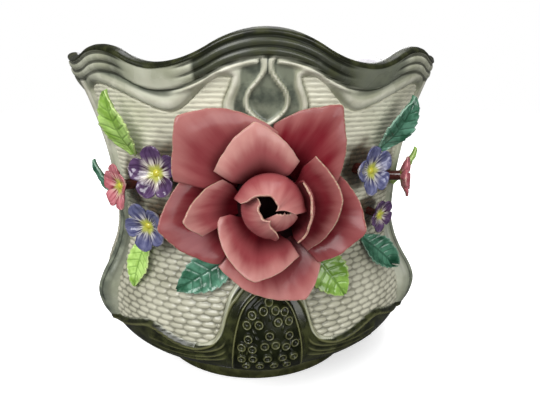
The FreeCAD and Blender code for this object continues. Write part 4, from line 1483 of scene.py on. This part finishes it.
@dataclass
class Leaf:
    """One applied leaf: its place in rose radii, run over the wall, size, and the key of a darker copy of its
    slot's glaze where it lies in shade, as painted shade.
    """

    name: str
    right: float
    up: float
    run: float
    lift: float
    length: float
    width: float
    slot: str
    curl: float = 0.0
    twist: float = 0.0
    # key of a darker copy of the slot's glaze, painted shade for a leaf in shade
    tone: str = ""


@dataclass
class Foliage:
    """The serrated leaves round the flowers, with a midrib and side veins."""

    wall: Wall = Wall()
    rose: RoseSizes = RoseSizes()
    length: float = 40.0
    width: float = 18.0
    thickness: float = 2.2
    rows: int = 97
    columns: int = 41
    sink: float = 0.9
    outline: tuple = ((0.0, 0.13), (0.12, 0.30), (0.28, 0.46), (0.45, 0.53), (0.58, 0.5), (0.72, 0.4),
                      (0.86, 0.24), (1.0, 0.03))
    rising: tuple = ((0.0, 0.02), (0.28, 0.06), (0.58, 0.08), (0.84, 0.07), (1.0, 0.03))
    # Teeth and waves of the outline
    teeth: float = 9.0
    tooth_shift: float = 0.3
    tooth_depth: float = 0.13
    tooth_start: tuple = (0.05, 0.2)
    side_wave: float = 0.05
    # Cup and waves of the blade, its thickness in shares, and where a twist starts
    cup: float = 0.1
    blade_wave: float = 0.5
    side_thin: float = 0.55
    edge_thin: float = 0.4
    edge_thin_from: float = 0.7
    twist_full: float = 0.35
    # Veins
    veins: float = 7.0
    vein_forward: float = 0.9
    vein_half: float = 0.17
    vein_start: tuple = (0.03, 0.12)
    vein_fade: float = 0.5
    vein_share: float = 0.8
    vein_depth: float = 0.42
    rib_half: float = 1.1
    rib_clear: float = 0.04
    leaves: tuple = (
        Leaf("leaf_upper_left", -1.33, 0.418, 2, 12, 0.98, 0.98, "light_leaf_glaze", twist=9),
        Leaf("leaf_far_left", -1.78, -0.167, -16, 21, 0.8, 0.72, "teal_leaf_glaze"),
        Leaf("leaf_lower_left", -1.286, -0.485, 190, 9, 0.82, 0.98, "light_leaf_glaze"),
        Leaf("leaf_bottom_left", -0.276, -0.504, 238, 5, 1.02, 1.12, "teal_leaf_glaze"),
        # painted shade: the bottom right leaf and the curled leaf wear darker copies of their glazes
        Leaf("leaf_bottom_right", 0.445, -0.512, 146, 7, 0.88, 1.24, "light_leaf_glaze",
             tone="shaded_leaf_glaze"),
        Leaf("leaf_right_curled", 1.103, -0.504, 134, 10, 0.84, 0.98, "teal_leaf_glaze", 0.14,
             tone="deep_leaf_glaze"),
        Leaf("leaf_far_right", 1.76, -0.017, 14, 22, 0.72, 0.72, "light_leaf_glaze"),
        Leaf("leaf_upper_right", 1.231, 0.441, 12, 15, 0.9, 1.08, "teal_leaf_glaze", twist=-10),
    )

    def leaf(self, leaf: Leaf, seed: int) -> None:
        """One leaf: a toothed outline along the midrib, cupped, with sunken veins that run to the edge.

        Args:
            leaf: the leaf.
            seed: number of the leaf, which shifts its teeth and waves.
        """
        along, across = grid(self.rows, self.columns)
        side = np.abs(across)
        length, width = self.length * leaf.length, self.width * leaf.width
        saw = along * self.teeth + seed * self.tooth_shift
        tooth = self.tooth_depth * (saw - np.floor(saw) - 0.5) * smooth(*self.tooth_start, along) * side ** 3
        wave = self.side_wave * ripple(along * 3, np.zeros_like(across), seed)
        half = curve(along, self.outline) * width * (1 + tooth) * (1 + wave)
        line = along * self.veins - self.vein_forward * side
        vein = bump(line - np.round(line), self.vein_half) * smooth(*self.vein_start, along)
        vein = vein * (1 - self.vein_fade * side ** 4) * (side > self.rib_clear)
        mark = np.maximum(self.vein_share * vein, bump(across * half, self.rib_half))
        fall = curve(along, self.rising) * length + self.cup * width * across ** 2 - self.vein_depth * mark
        fall += self.blade_wave * ripple(across * 2.5, along * 5.0, seed) * side
        fall += leaf.curl * length * across ** 2 * along
        thin = 1 - self.edge_thin * smooth(self.edge_thin_from, 1.0, along)
        thick = self.thickness / 2 * (1 - self.side_thin * side ** 4) * thin
        lift, run, twist = (math.radians(angle) for angle in (leaf.lift, leaf.run, leaf.twist))
        lean = math.sin(twist)
        tilt = half * (across * lean + abs(lean)) * smooth(0.0, self.twist_full, along)
        x, y = along * length, half * across
        centre, axes = self.wall.spot(leaf.right, leaf.up, self.rose, self.sink)
        sides = []
        for sign in (1.0, -1.0):
            z = fall + sign * thick
            raised = x * math.cos(lift) - z * math.sin(lift)
            out = x * math.sin(lift) + z * math.cos(lift) + tilt
            up = raised * math.cos(run) + y * math.sin(run)
            left = -raised * math.sin(run) + y * math.cos(run)
            sides.append(centre + np.stack([up, left, out], -1) @ axes.T)
        points, faces = shell_faces(sides[0], sides[1])
        values = {"along": both(along), "across": both(across), "vein": both(mark)}
        values["seed"] = np.full(points.shape[0], float(seed))
        piece = put_piece(f"{leaf.name}_clay", points, faces, values, leaf.slot)
        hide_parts(leaf.name)

    def build(self) -> None:
        """Make all the leaves."""
        for seed, leaf in enumerate(self.leaves):
            self.leaf(leaf, seed)


def linear(code: str) -> tuple[float, float, float, float]:
    """Scene-linear colour of an sRGB hex code, opaque."""
    parts = [int(code[index:index + 2], 16) / 255 for index in (1, 3, 5)]
    return *(part / 12.92 if part <= 0.04045 else ((part + 0.055) / 1.055) ** 2.4 for part in parts), 1.0


class Node(Enum):
    """Kinds of node: type, settings, the inputs in the order they are given, and the output that is used."""

    PLACE = ("ShaderNodeTexCoord", {}, (), "Object")
    VALUE = ("ShaderNodeAttribute", {}, (), "Fac")
    CLOUDS = ("ShaderNodeTexNoise", {}, ("Vector", "Scale", "Detail"), "Fac")
    STEP = ("ShaderNodeMapRange", {"interpolation_type": "SMOOTHSTEP"}, ("Value", 1, 2, 3, 4), "Result")
    MIX = ("ShaderNodeMix", {"data_type": "RGBA"}, (0, 6, 7), 2)
    ADD = ("ShaderNodeMath", {"operation": "ADD"}, (0, 1), 0)
    TIMES = ("ShaderNodeMath", {"operation": "MULTIPLY"}, (0, 1), 0)
    SCALE = ("ShaderNodeMath", {"operation": "MULTIPLY_ADD"}, (0, 1, 2), 0)
    VECTOR = ("ShaderNodeCombineXYZ", {}, (0, 1, 2), 0)
    GRAIN = ("ShaderNodeBump", {}, ("Height", "Distance", "Strength"), "Normal")
    GLAZE = ("ShaderNodeBsdfPrincipled", {},
             ("Base Color", "Roughness", "IOR", "Normal", "Specular IOR Level"), "BSDF")
    SURFACE = ("ShaderNodeOutputMaterial", {}, ("Surface",), None)
    SEEN = ("ShaderNodeLightPath", {}, (), "Is Camera Ray")
    MIRRORED = ("ShaderNodeLightPath", {}, (), "Is Glossy Ray")
    MATT = ("ShaderNodeBsdfDiffuse", {}, ("Color",), 0)
    GLOW = ("ShaderNodeEmission", {}, ("Strength",), 0)
    BOTH = ("ShaderNodeAddShader", {}, (0, 1), 0)
    CHOICE = ("ShaderNodeMixShader", {}, (0, 1, 2), 0)
    LIGHT = ("ShaderNodeBackground", {}, ("Color", "Strength"), 0)
    WORLD = ("ShaderNodeOutputWorld", {}, ("Surface",), None)


def add_node(tree: bpy.types.NodeTree, kind: Node, *inputs: object, **settings: object) -> Socket | None:
    """Add a node of a kind, and set or link its inputs.

    Args:
        tree: node tree that gets the node.
        kind: kind of the node.
        inputs: for each input a value, a hex colour or an output socket to link.
        settings: values of properties beside those of its kind.

    Returns:
        The output that is used, or None for the last node of a tree.
    """
    type_name, fixed, keys, output = kind.value
    made = tree.nodes.new(type_name)
    for key, value in (fixed | settings).items():
        setattr(made, key, value)
    for key, value in zip(keys, inputs):
        if isinstance(value, Socket):
            tree.links.new(value, made.inputs[key])
        else:
            made.inputs[key].default_value = linear(value) if isinstance(value, str) else value
    return None if output is None else made.outputs[output]


def empty_tree(owner: bpy.types.Material | bpy.types.World) -> bpy.types.NodeTree:
    """Node tree of a material or world without its first nodes."""
    owner.use_nodes = True
    owner.node_tree.nodes.clear()
    return owner.node_tree


class Recipe:
    """A glaze under construction, whose patterns are sized in millimetres on the object."""

    # Shares of the noise between which one colour turns to the other, gently or in firmer patches
    GENTLE = (0.3, 0.7)
    FIRM = (0.35, 0.65)
    DETAIL = 3.0
    SHINE = 0.5

    def __init__(self, name: str, clouds: tuple, values: tuple = ()) -> None:
        """Start an empty material with its clouds of noise and the values of its piece.

        Args:
            name: name of the material.
            clouds: size of each cloud in millimetres.
            values: names of the piece's attributes.
        """
        self.material = bpy.data.materials.new(name)
        self.tree = empty_tree(self.material)
        place = self.add(Node.PLACE)
        self.clouds = [self.add(Node.CLOUDS, place, 1.0 / (size * METRES), self.DETAIL) for size in clouds]
        self.values = [self.add(Node.VALUE, attribute_name=key) for key in values]

    def add(self, kind: Node, *inputs: object, **settings: object) -> Socket | None:
        """Add a node to the glaze."""
        return add_node(self.tree, kind, *inputs, **settings)

    def blend(self, noise: Socket, span: tuple, colours: tuple) -> Socket:
        """Two colours that turn from one to the other with a noise, between two of its shares."""
        return self.add(Node.MIX, self.add(Node.STEP, noise, *span), *colours)

    def close(self, colour: Socket, roughness: object, ior: float, grain: Socket, depth: float,
              shine: object = SHINE) -> bpy.types.Material:
        """Close the material with a glossy glaze and a shallow grain.

        Args:
            colour: colour of the glaze.
            roughness: value or socket.
            ior: index of refraction.
            grain: height of the grain.
            depth: depth of the grain in millimetres.
            shine: strength of the mirror, value or socket.

        Returns:
            The finished material.
        """
        skin = self.add(Node.GRAIN, grain, depth * METRES, 1.0)
        self.add(Node.SURFACE, self.add(Node.GLAZE, colour, roughness, ior, skin, shine))
        return self.material


@dataclass(frozen=True)
class WallGlaze:
    """Majolica lead glaze on cream earthenware: olive that breaks pale on the ridges, over ivory ground, with
    painted shade under the band's ledge and below the belly.
    """

    name: str = "majolica_lead_glaze_on_earthenware"
    clouds: tuple = (26.0, 7.0, 1.6)
    cream: tuple = ("#999b85", "#c2c3b0")
    ivory: tuple = ("#c3c1ad", "#d9d7c6")
    wash: tuple = ("#474d44", "#7b806f")
    olive: tuple = ("#141706", "#34371c")
    pale: str = "#77774f"
    # dark of the glaze pooled in hollows, and of the painted shade under the band's ledge and below the belly
    pool_and_shade: str = "#10130a"
    inside: tuple = ("#d0ced3", "#dad8dc")
    roughness: tuple = (0.2, 0.36)
    ior: float = 1.5
    grain: float = 0.05
    # Values between which each zone sets in, with the least and the most of it where that isn't 0 and 1
    ivory_in: tuple = (0.55, 0.75, 0.0, 0.5)
    bare_in: tuple = (-0.05, -0.7)
    wash_in: tuple = (0.05, 0.95)
    wash_break: tuple = (0.5, -0.25)
    dark_in: tuple = (0.35, 0.7)
    olive_in: tuple = (0.2, 0.8)
    olive_break: tuple = (0.35, -0.17)
    pale_in: tuple = (0.35, 1.0, 0.0, 0.62)
    pool_and_shade_in: tuple = (-0.1, -0.8, 0.0, 0.75)
    inside_in: tuple = (0.2, 0.8)
    shine_in: tuple = (-0.9, -0.1, 0.12, 0.45)

    def build(self) -> bpy.types.Material:
        """Mix the zones by the painted shares and break their edges with clouds.

        Returns:
            The finished material.
        """
        mix = Recipe(self.name, self.clouds, ("crest", "wash", "olive", "within"))
        add = mix.add
        broad, small, fine = mix.clouds
        crest, wash, olive, within = mix.values
        ground = mix.blend(broad, mix.FIRM, self.cream)
        ground = mix.blend(small, self.ivory_in, (ground, self.ivory[0]))
        ground = mix.blend(wash, self.bare_in, (ground, mix.blend(small, mix.FIRM, self.ivory)))
        washed = add(Node.SCALE, small, self.wash_break[0], add(Node.ADD, wash, self.wash_break[1]))
        colour = mix.blend(washed, self.wash_in, (ground, mix.blend(small, mix.GENTLE, self.wash)))
        olive = add(Node.SCALE, small, self.olive_break[0], add(Node.ADD, olive, self.olive_break[1]))
        colour = mix.blend(olive, self.olive_in, (colour, mix.blend(small, self.dark_in, self.olive)))
        colour = mix.blend(crest, self.pale_in, (colour, self.pale))
        # pooled glaze in hollows, and painted shade under the ledge and below the belly
        colour = mix.blend(crest, self.pool_and_shade_in, (colour, self.pool_and_shade))
        colour = mix.blend(within, self.inside_in, (colour, mix.blend(broad, mix.FIRM, self.inside)))
        rough = add(Node.STEP, broad, *mix.GENTLE, *self.roughness)
        return mix.close(colour, rough, self.ior, fine, self.grain, add(Node.STEP, crest, *self.shine_in))


@dataclass(frozen=True)
class WeaveGlaze:
    """Clear lead glaze on ivory earthenware basketwork: greyed in the joints, pale on the strands, darker
    towards the bottom as painted shade, with dark smears that are partly painted shade.
    """

    name: str = "ivory_glazed_basketwork"
    clouds: tuple = (30.0, 2.0)
    joint: tuple = ("#6f6e5e", "#8d8b7b")
    # strand colours low on the wall and upper colours high up, the lower ones darker as painted shade
    strand: tuple = ("#9f9d8a", "#bbb9a6")
    upper: tuple = ("#c4c2ac", "#dcdac5")
    # dark clay smeared at the stalks' feet, partly painted shade under the flowers
    pad: tuple = ("#2b2416", "#4d3a26")
    pad_and_shade_share: float = 0.9
    strand_in: tuple = (0.05, 0.75)
    roughness: tuple = (0.2, 0.34)
    ior: float = 1.5
    grain: float = 0.05

    def build(self) -> bpy.types.Material:
        """Darken the joints, vary the strands slowly, darken them towards the bottom as painted shade and
        smear the feet of the stalks with dark clay and painted shade.

        Returns:
            The finished material.
        """
        mix = Recipe(self.name, self.clouds, ("strand", "belly", "pad"))
        add = mix.add
        broad, fine = mix.clouds
        strand, belly, pad = mix.values
        low, high = (mix.blend(broad, mix.GENTLE, colours) for colours in (self.strand, self.upper))
        # painted shade: the lower strands darker than the upper
        top = add(Node.MIX, belly, high, low)
        colour = mix.blend(strand, self.strand_in, (mix.blend(broad, mix.FIRM, self.joint), top))
        # smear of dark clay, partly painted shade under the flowers
        smear = mix.blend(fine, mix.FIRM, self.pad)
        colour = add(Node.MIX, add(Node.TIMES, pad, self.pad_and_shade_share), colour, smear)
        rough = add(Node.STEP, broad, *mix.GENTLE, *self.roughness)
        return mix.close(colour, rough, self.ior, fine, self.grain)


@dataclass(frozen=True)
class RoseGlaze:
    """Crimson lead glaze on thin clay petals: deep in the cups, worn to pink and cream at the edges, each
    petal lighter or darker partly as painted light and shade.
    """

    name: str = "crimson_glaze_on_clay_petals"
    clouds: tuple = (9.0, 1.2)
    deep: tuple = ("#2a0408", "#520e15")
    body: tuple = ("#6e1a24", "#a2595a")
    tip: tuple = ("#a86a66", "#c79a90")
    worn: str = "#b9a98c"
    roughness: tuple = (0.15, 0.26)
    ior: float = 1.46
    grain: float = 0.12
    shine: float = 0.26
    # Streaks along the petal: their width and stretch in shares of it, and how they shift each zone
    streak: float = 0.22
    stretch: float = 0.25
    body_streak: tuple = (0.6, -0.3)
    body_in: tuple = (0.15, 0.62)
    tip_streak: tuple = (0.35, -0.17)
    tip_in: tuple = (0.6, 1.05)
    chip: tuple = (0.7, -0.35)
    worn_in: tuple = (0.8, 1.15, 0.0, 0.75)

    def build(self) -> bpy.types.Material:
        """Run the colour from the base to the edge, with streaks along each petal.

        Returns:
            The finished material.
        """
        mix = Recipe(self.name, self.clouds, ("along", "across", "edge", "tone", "pale", "seed", "worn"))
        add = mix.add
        patch, fine = mix.clouds
        along, across, edge, tone, pale, seed, worn = mix.values
        place = add(Node.VECTOR, across, add(Node.TIMES, along, self.stretch), seed)
        streak = add(Node.CLOUDS, place, 1.0 / self.streak, mix.DETAIL)
        # each petal's tone lightens or darkens its body, partly its own colour and partly painted light and
        # shade
        lit = add(Node.SCALE, streak, self.body_streak[0], add(Node.ADD, tone, self.body_streak[1]))
        body = add(Node.MIX, lit, *self.body)
        colour = mix.blend(along, self.body_in, (add(Node.MIX, streak, *self.deep), body))
        reach = add(Node.ADD, along, add(Node.SCALE, streak, *self.tip_streak))
        # each petal's pale share widens its pale tip, partly its own wear and partly painted light
        share = add(Node.TIMES, add(Node.STEP, reach, *self.tip_in), pale)
        colour = add(Node.MIX, share, colour, add(Node.MIX, patch, *self.tip))
        chipped = add(Node.ADD, edge, add(Node.SCALE, fine, *self.chip))
        share = add(Node.TIMES, add(Node.STEP, chipped, *self.worn_in), worn)
        colour = add(Node.MIX, share, colour, self.worn)
        rough = add(Node.STEP, patch, *mix.GENTLE, *self.roughness)
        return mix.close(colour, rough, self.ior, streak, self.grain, self.shine)


@dataclass(frozen=True)
class FlowerGlaze:
    """Coloured lead glaze on small clay flowers: a yellow eye, a pale veined throat and coloured petals."""

    name: str
    petal: tuple
    throat: str
    vein: str
    clouds: tuple = (5.0,)
    eye: str = "#bdb53c"
    glow: str = "#a9ab4a"
    edge: str = "#a9a08c"
    roughness: float = 0.18
    ior: float = 1.58
    grain: float = 0.08
    # Streaks that fan out from the throat: their width, detail and stretch in shares of the petal
    streak: float = 0.3
    detail: float = 2.0
    stretch: tuple = (1.6, 0.3)
    cloud_share: float = 0.5
    vein_in: tuple = (0.42, 0.58)
    glow_in: tuple = (0.34, 0.12)
    petal_in: tuple = (0.26, 0.62)
    edge_in: tuple = (0.9, 1.02, 0.0, 0.55)
    eye_in: tuple = (-0.4, -0.6)

    def build(self) -> bpy.types.Material:
        """Run the colour from the throat to the tip with veins that fan out.

        Returns:
            The finished material.
        """
        mix = Recipe(self.name, self.clouds, ("along", "across", "seed"))
        add = mix.add
        along, across, seed = mix.values
        wide, long = (add(Node.TIMES, value, share) for value, share in zip((across, along), self.stretch))
        streak = add(Node.CLOUDS, add(Node.VECTOR, wide, long, seed), 1.0 / self.streak, self.detail)
        cloudy = add(Node.SCALE, mix.clouds[0], self.cloud_share, add(Node.TIMES, streak, self.cloud_share))
        body = mix.blend(cloudy, mix.GENTLE, self.petal)
        throat = mix.blend(streak, self.vein_in, (self.vein, self.throat))
        throat = mix.blend(along, self.glow_in, (throat, self.glow))
        colour = mix.blend(along, self.petal_in, (throat, body))
        colour = mix.blend(along, self.edge_in, (colour, self.edge))
        colour = mix.blend(along, self.eye_in, (colour, self.eye))
        return mix.close(colour, self.roughness, self.ior, streak, self.grain)


@dataclass(frozen=True)
class LeafGlaze:
    """Copper-green lead glaze on clay leaves: thin and bright on the blade, pooled darker along the veins."""

    name: str
    blade: tuple
    vein: str
    edge: str
    clouds: tuple = (8.0, 1.4)
    roughness: float = 0.2
    ior: float = 1.56
    grain: float = 0.06
    blade_in: tuple = (0.32, 0.68)
    vein_in: tuple = (0.1, 0.9, 0.0, 0.6)
    chip: tuple = (0.5, -0.25)
    edge_in: tuple = (0.72, 1.05, 0.0, 0.6)

    def build(self) -> bpy.types.Material:
        """Cloud the blade, darken the veins and lighten the edge.

        Returns:
            The finished material.
        """
        mix = Recipe(self.name, self.clouds, ("vein", "across"))
        patch, fine = mix.clouds
        vein, across = mix.values
        colour = mix.blend(patch, self.blade_in, self.blade)
        colour = mix.blend(vein, self.vein_in, (colour, self.vein))
        side = mix.add(Node.TIMES, across, across)
        worn = mix.add(Node.ADD, side, mix.add(Node.SCALE, fine, *self.chip))
        colour = mix.blend(worn, self.edge_in, (colour, self.edge))
        return mix.close(colour, self.roughness, self.ior, fine, self.grain)


@dataclass(frozen=True)
class PlainGlaze:
    """Lead glaze of one colour on a hidden or small clay piece, clouded by its thickness."""

    name: str
    colours: tuple
    roughness: float = 0.22
    ior: float = 1.56
    clouds: tuple = (6.0, 1.5)
    grain: float = 0.05

    def build(self) -> bpy.types.Material:
        """Cloud two tones of the colour.

        Returns:
            The finished material.
        """
        mix = Recipe(self.name, self.clouds)
        patch, fine = mix.clouds
        colour = mix.blend(patch, mix.GENTLE, self.colours)
        return mix.close(colour, self.roughness, self.ior, fine, self.grain)


@dataclass
class Dresser:
    """Gives every piece and every visible node its glaze, by the key that stands for the glaze."""

    glazes: dict = field(default_factory=lambda: {
        "pot_wall": WallGlaze(),
        "pot_basketwork": WeaveGlaze(),
        "rose_glaze": RoseGlaze(),
        "violet_glaze": FlowerGlaze(
            "purple_glaze_on_clay_violets", ("#352040", "#5d4568"), "#cfc7bd", "#3a1a30"),
        "blue_glaze": FlowerGlaze(
            "blue_grey_glaze_on_clay_violets", ("#3c3e66", "#6f7190"), "#bdbabc", "#343050"),
        "pink_glaze": FlowerGlaze(
            "rose_pink_glaze_on_clay_blossoms", ("#96404a", "#c87f86"), "#d0a79c", "#7a2c35"),
        "light_leaf_glaze": LeafGlaze(
            "light_copper_green_glaze", ("#7da33f", "#b5d97a"), "#5b802f", "#cddb9a"),
        # darker copies of the light and teal glazes: painted shade for leaves that lie in shade
        "shaded_leaf_glaze": LeafGlaze(
            "shaded_copper_green_glaze", ("#5c8029", "#8db355"), "#456722", "#aebf78"),
        "deep_leaf_glaze": LeafGlaze(
            "deep_copper_green_glaze", ("#1c4632", "#4a7b63"), "#143323", "#86a692"),
        "teal_leaf_glaze": LeafGlaze(
            "teal_copper_green_glaze", ("#28573f", "#5f927a"), "#1d432e", "#9dbaa8"),
        # painted shade: the rose's heart is glazed near black for the shade deep inside it
        "rose_core": PlainGlaze("dark_crimson_glaze", ("#0c0203", "#24060a"), 0.7, 1.2),
        "stalk": PlainGlaze("brown_red_glaze", ("#3a1512", "#5f2a22")),
    })
    nodes: tuple = (("pot_basketwork", "pot_basketwork"), ("pot_wall", "pot_wall"), ("pot_arch", "pot_wall"),
                    ("rose_core", "rose_core"))

    def key_of(self, name: str) -> str | None:
        """Key of the glaze for a piece or a node.

        Args:
            name: name of the piece or the node.

        Returns:
            The key, or None for a node that another piece stands for.
        """
        if name.endswith("_clay"):
            own = {item.name: item.slot for item in Posy().flowers}
            own |= {item.name: item.tone or item.slot for item in Foliage().leaves}
            return own.get(name.removesuffix("_clay"), "rose_glaze")
        if name.endswith("_stalk"):
            return "stalk"
        return next((key for start, key in self.nodes if name.startswith(start)), None)

    def dress(self) -> None:
        """Build each glaze once and put it in every slot of the pieces and nodes that wear it."""
        made = {key: glaze.build() for key, glaze in self.glazes.items()}
        for piece in [item for item in bpy.context.scene.objects if item.type == "MESH"]:
            key = self.key_of(piece.name)
            if key is None:
                continue
            if not piece.data.materials:
                piece.data.materials.append(made[key])
            for slot in piece.material_slots:
                slot.material = made[key]


@dataclass
class Studio:
    """White table and backdrop, soft lights from the upper left, and the camera of the picture, in metres."""

    eye: tuple = (-0.01703, -0.32936, 0.1967)
    pitch: float = 74.76
    heading: float = -5.03
    lens: float = 27.71
    sensor: float = 36.0
    near: float = 0.01
    table_radius: float = 4.0
    table_level: float = -0.0004
    table_corners: int = 64
    table: str = "#f4f4f4"
    table_bounce: str = "#505050"
    table_glow: float = 0.45
    white: str = "#ffffff"
    ambient: float = 0.66
    mirrored: float = 0.12
    lamp_size: float = 0.9
    # Name, place, target and power of each lamp
    lamps: tuple = (
        ("key", (-0.7, -1.15, 1.0), (0.0, 0.0, 0.14), 21.0),
        ("fill", (0.55, -1.25, 0.12), (0.0, 0.0, 0.17), 11.0),
        ("back", (0.2, 1.3, 0.7), (0.0, 0.0, 0.14), 7.0),
        ("top", (0.1, 0.25, 1.4), (0.0, 0.0, 0.2), 8.0),
    )

    def lamp(self, name: str, place: tuple, target: tuple, power: float) -> None:
        """Square area light of white light.

        Args:
            name: name of the lamp.
            place: where it stands.
            target: where it is aimed.
            power: power in watts.
        """
        light = bpy.data.lights.new(name, "AREA")
        light.shape = "SQUARE"
        light.size = self.lamp_size
        light.energy = power
        light.color = linear(self.white)[:3]
        item = bpy.data.objects.new(name, light)
        bpy.context.scene.collection.objects.link(item)
        away = np.array(place) - np.array(target)
        back = away / np.linalg.norm(away)
        side = np.cross([0.0, 0.0, 1.0], back)
        side /= np.linalg.norm(side)
        up = np.cross(back, side)
        item.matrix_world = Matrix([*np.stack([side, up, back, place], -1).tolist(), [0, 0, 0, 1]])

    def backdrop(self) -> None:
        """White for the camera, softer for the light that it gives and dim in the glaze's mirror."""
        world = bpy.data.worlds.new("studio")
        tree = empty_tree(world)
        strengths = (self.ambient, self.mirrored, 1.0)
        soft, dim, white = (add_node(tree, Node.LIGHT, self.white, strength) for strength in strengths)
        mirror = add_node(tree, Node.CHOICE, add_node(tree, Node.MIRRORED), soft, dim)
        add_node(tree, Node.WORLD, add_node(tree, Node.CHOICE, add_node(tree, Node.SEEN), mirror, white))
        bpy.context.scene.world = world

    def floor(self) -> None:
        """Large matt disc under the foot, white for the camera and duller in the light it throws back."""
        turn = np.arange(self.table_corners) * 2 * np.pi / self.table_corners
        level = np.full(self.table_corners, self.table_level)
        ring = np.stack([np.cos(turn) * self.table_radius, np.sin(turn) * self.table_radius, level], -1)
        mesh = bpy.data.meshes.new("table")
        mesh.from_pydata(ring.tolist(), [], [list(range(self.table_corners))])
        table = bpy.data.objects.new("table", mesh)
        bpy.context.scene.collection.objects.link(table)
        material = bpy.data.materials.new("matt_white_table")
        tree = empty_tree(material)
        matt, dull = (add_node(tree, Node.MATT, colour) for colour in (self.table, self.table_bounce))
        bright = add_node(tree, Node.BOTH, matt, add_node(tree, Node.GLOW, self.table_glow))
        add_node(tree, Node.SURFACE, add_node(tree, Node.CHOICE, add_node(tree, Node.SEEN), dull, bright))
        mesh.materials.append(material)

    def camera(self) -> None:
        """Camera from above the middle, a little to the left."""
        camera = bpy.data.cameras.new("picture")
        camera.sensor_fit = "HORIZONTAL"
        camera.sensor_width = self.sensor
        camera.lens = self.lens
        camera.clip_start = self.near
        item = bpy.data.objects.new("picture", camera)
        item.location = self.eye
        item.rotation_euler = (math.radians(self.pitch), 0.0, math.radians(self.heading))
        bpy.context.scene.collection.objects.link(item)
        bpy.context.scene.camera = item

    def build(self) -> None:
        """Set the table, the light and the camera."""
        self.backdrop()
        self.floor()
        self.camera()
        for lamp in self.lamps:
            self.lamp(*lamp)
        bpy.context.scene.view_settings.view_transform = "Standard"


def main() -> None:
    """Build every piece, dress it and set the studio."""
    logging.basicConfig(level=logging.INFO, format="%(message)s")
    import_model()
    Vessel().build()
    Rose().build()
    Posy().build()
    Foliage().build()
    Dresser().dress()
    Studio().build()


if __name__ == "__main__":
    main()
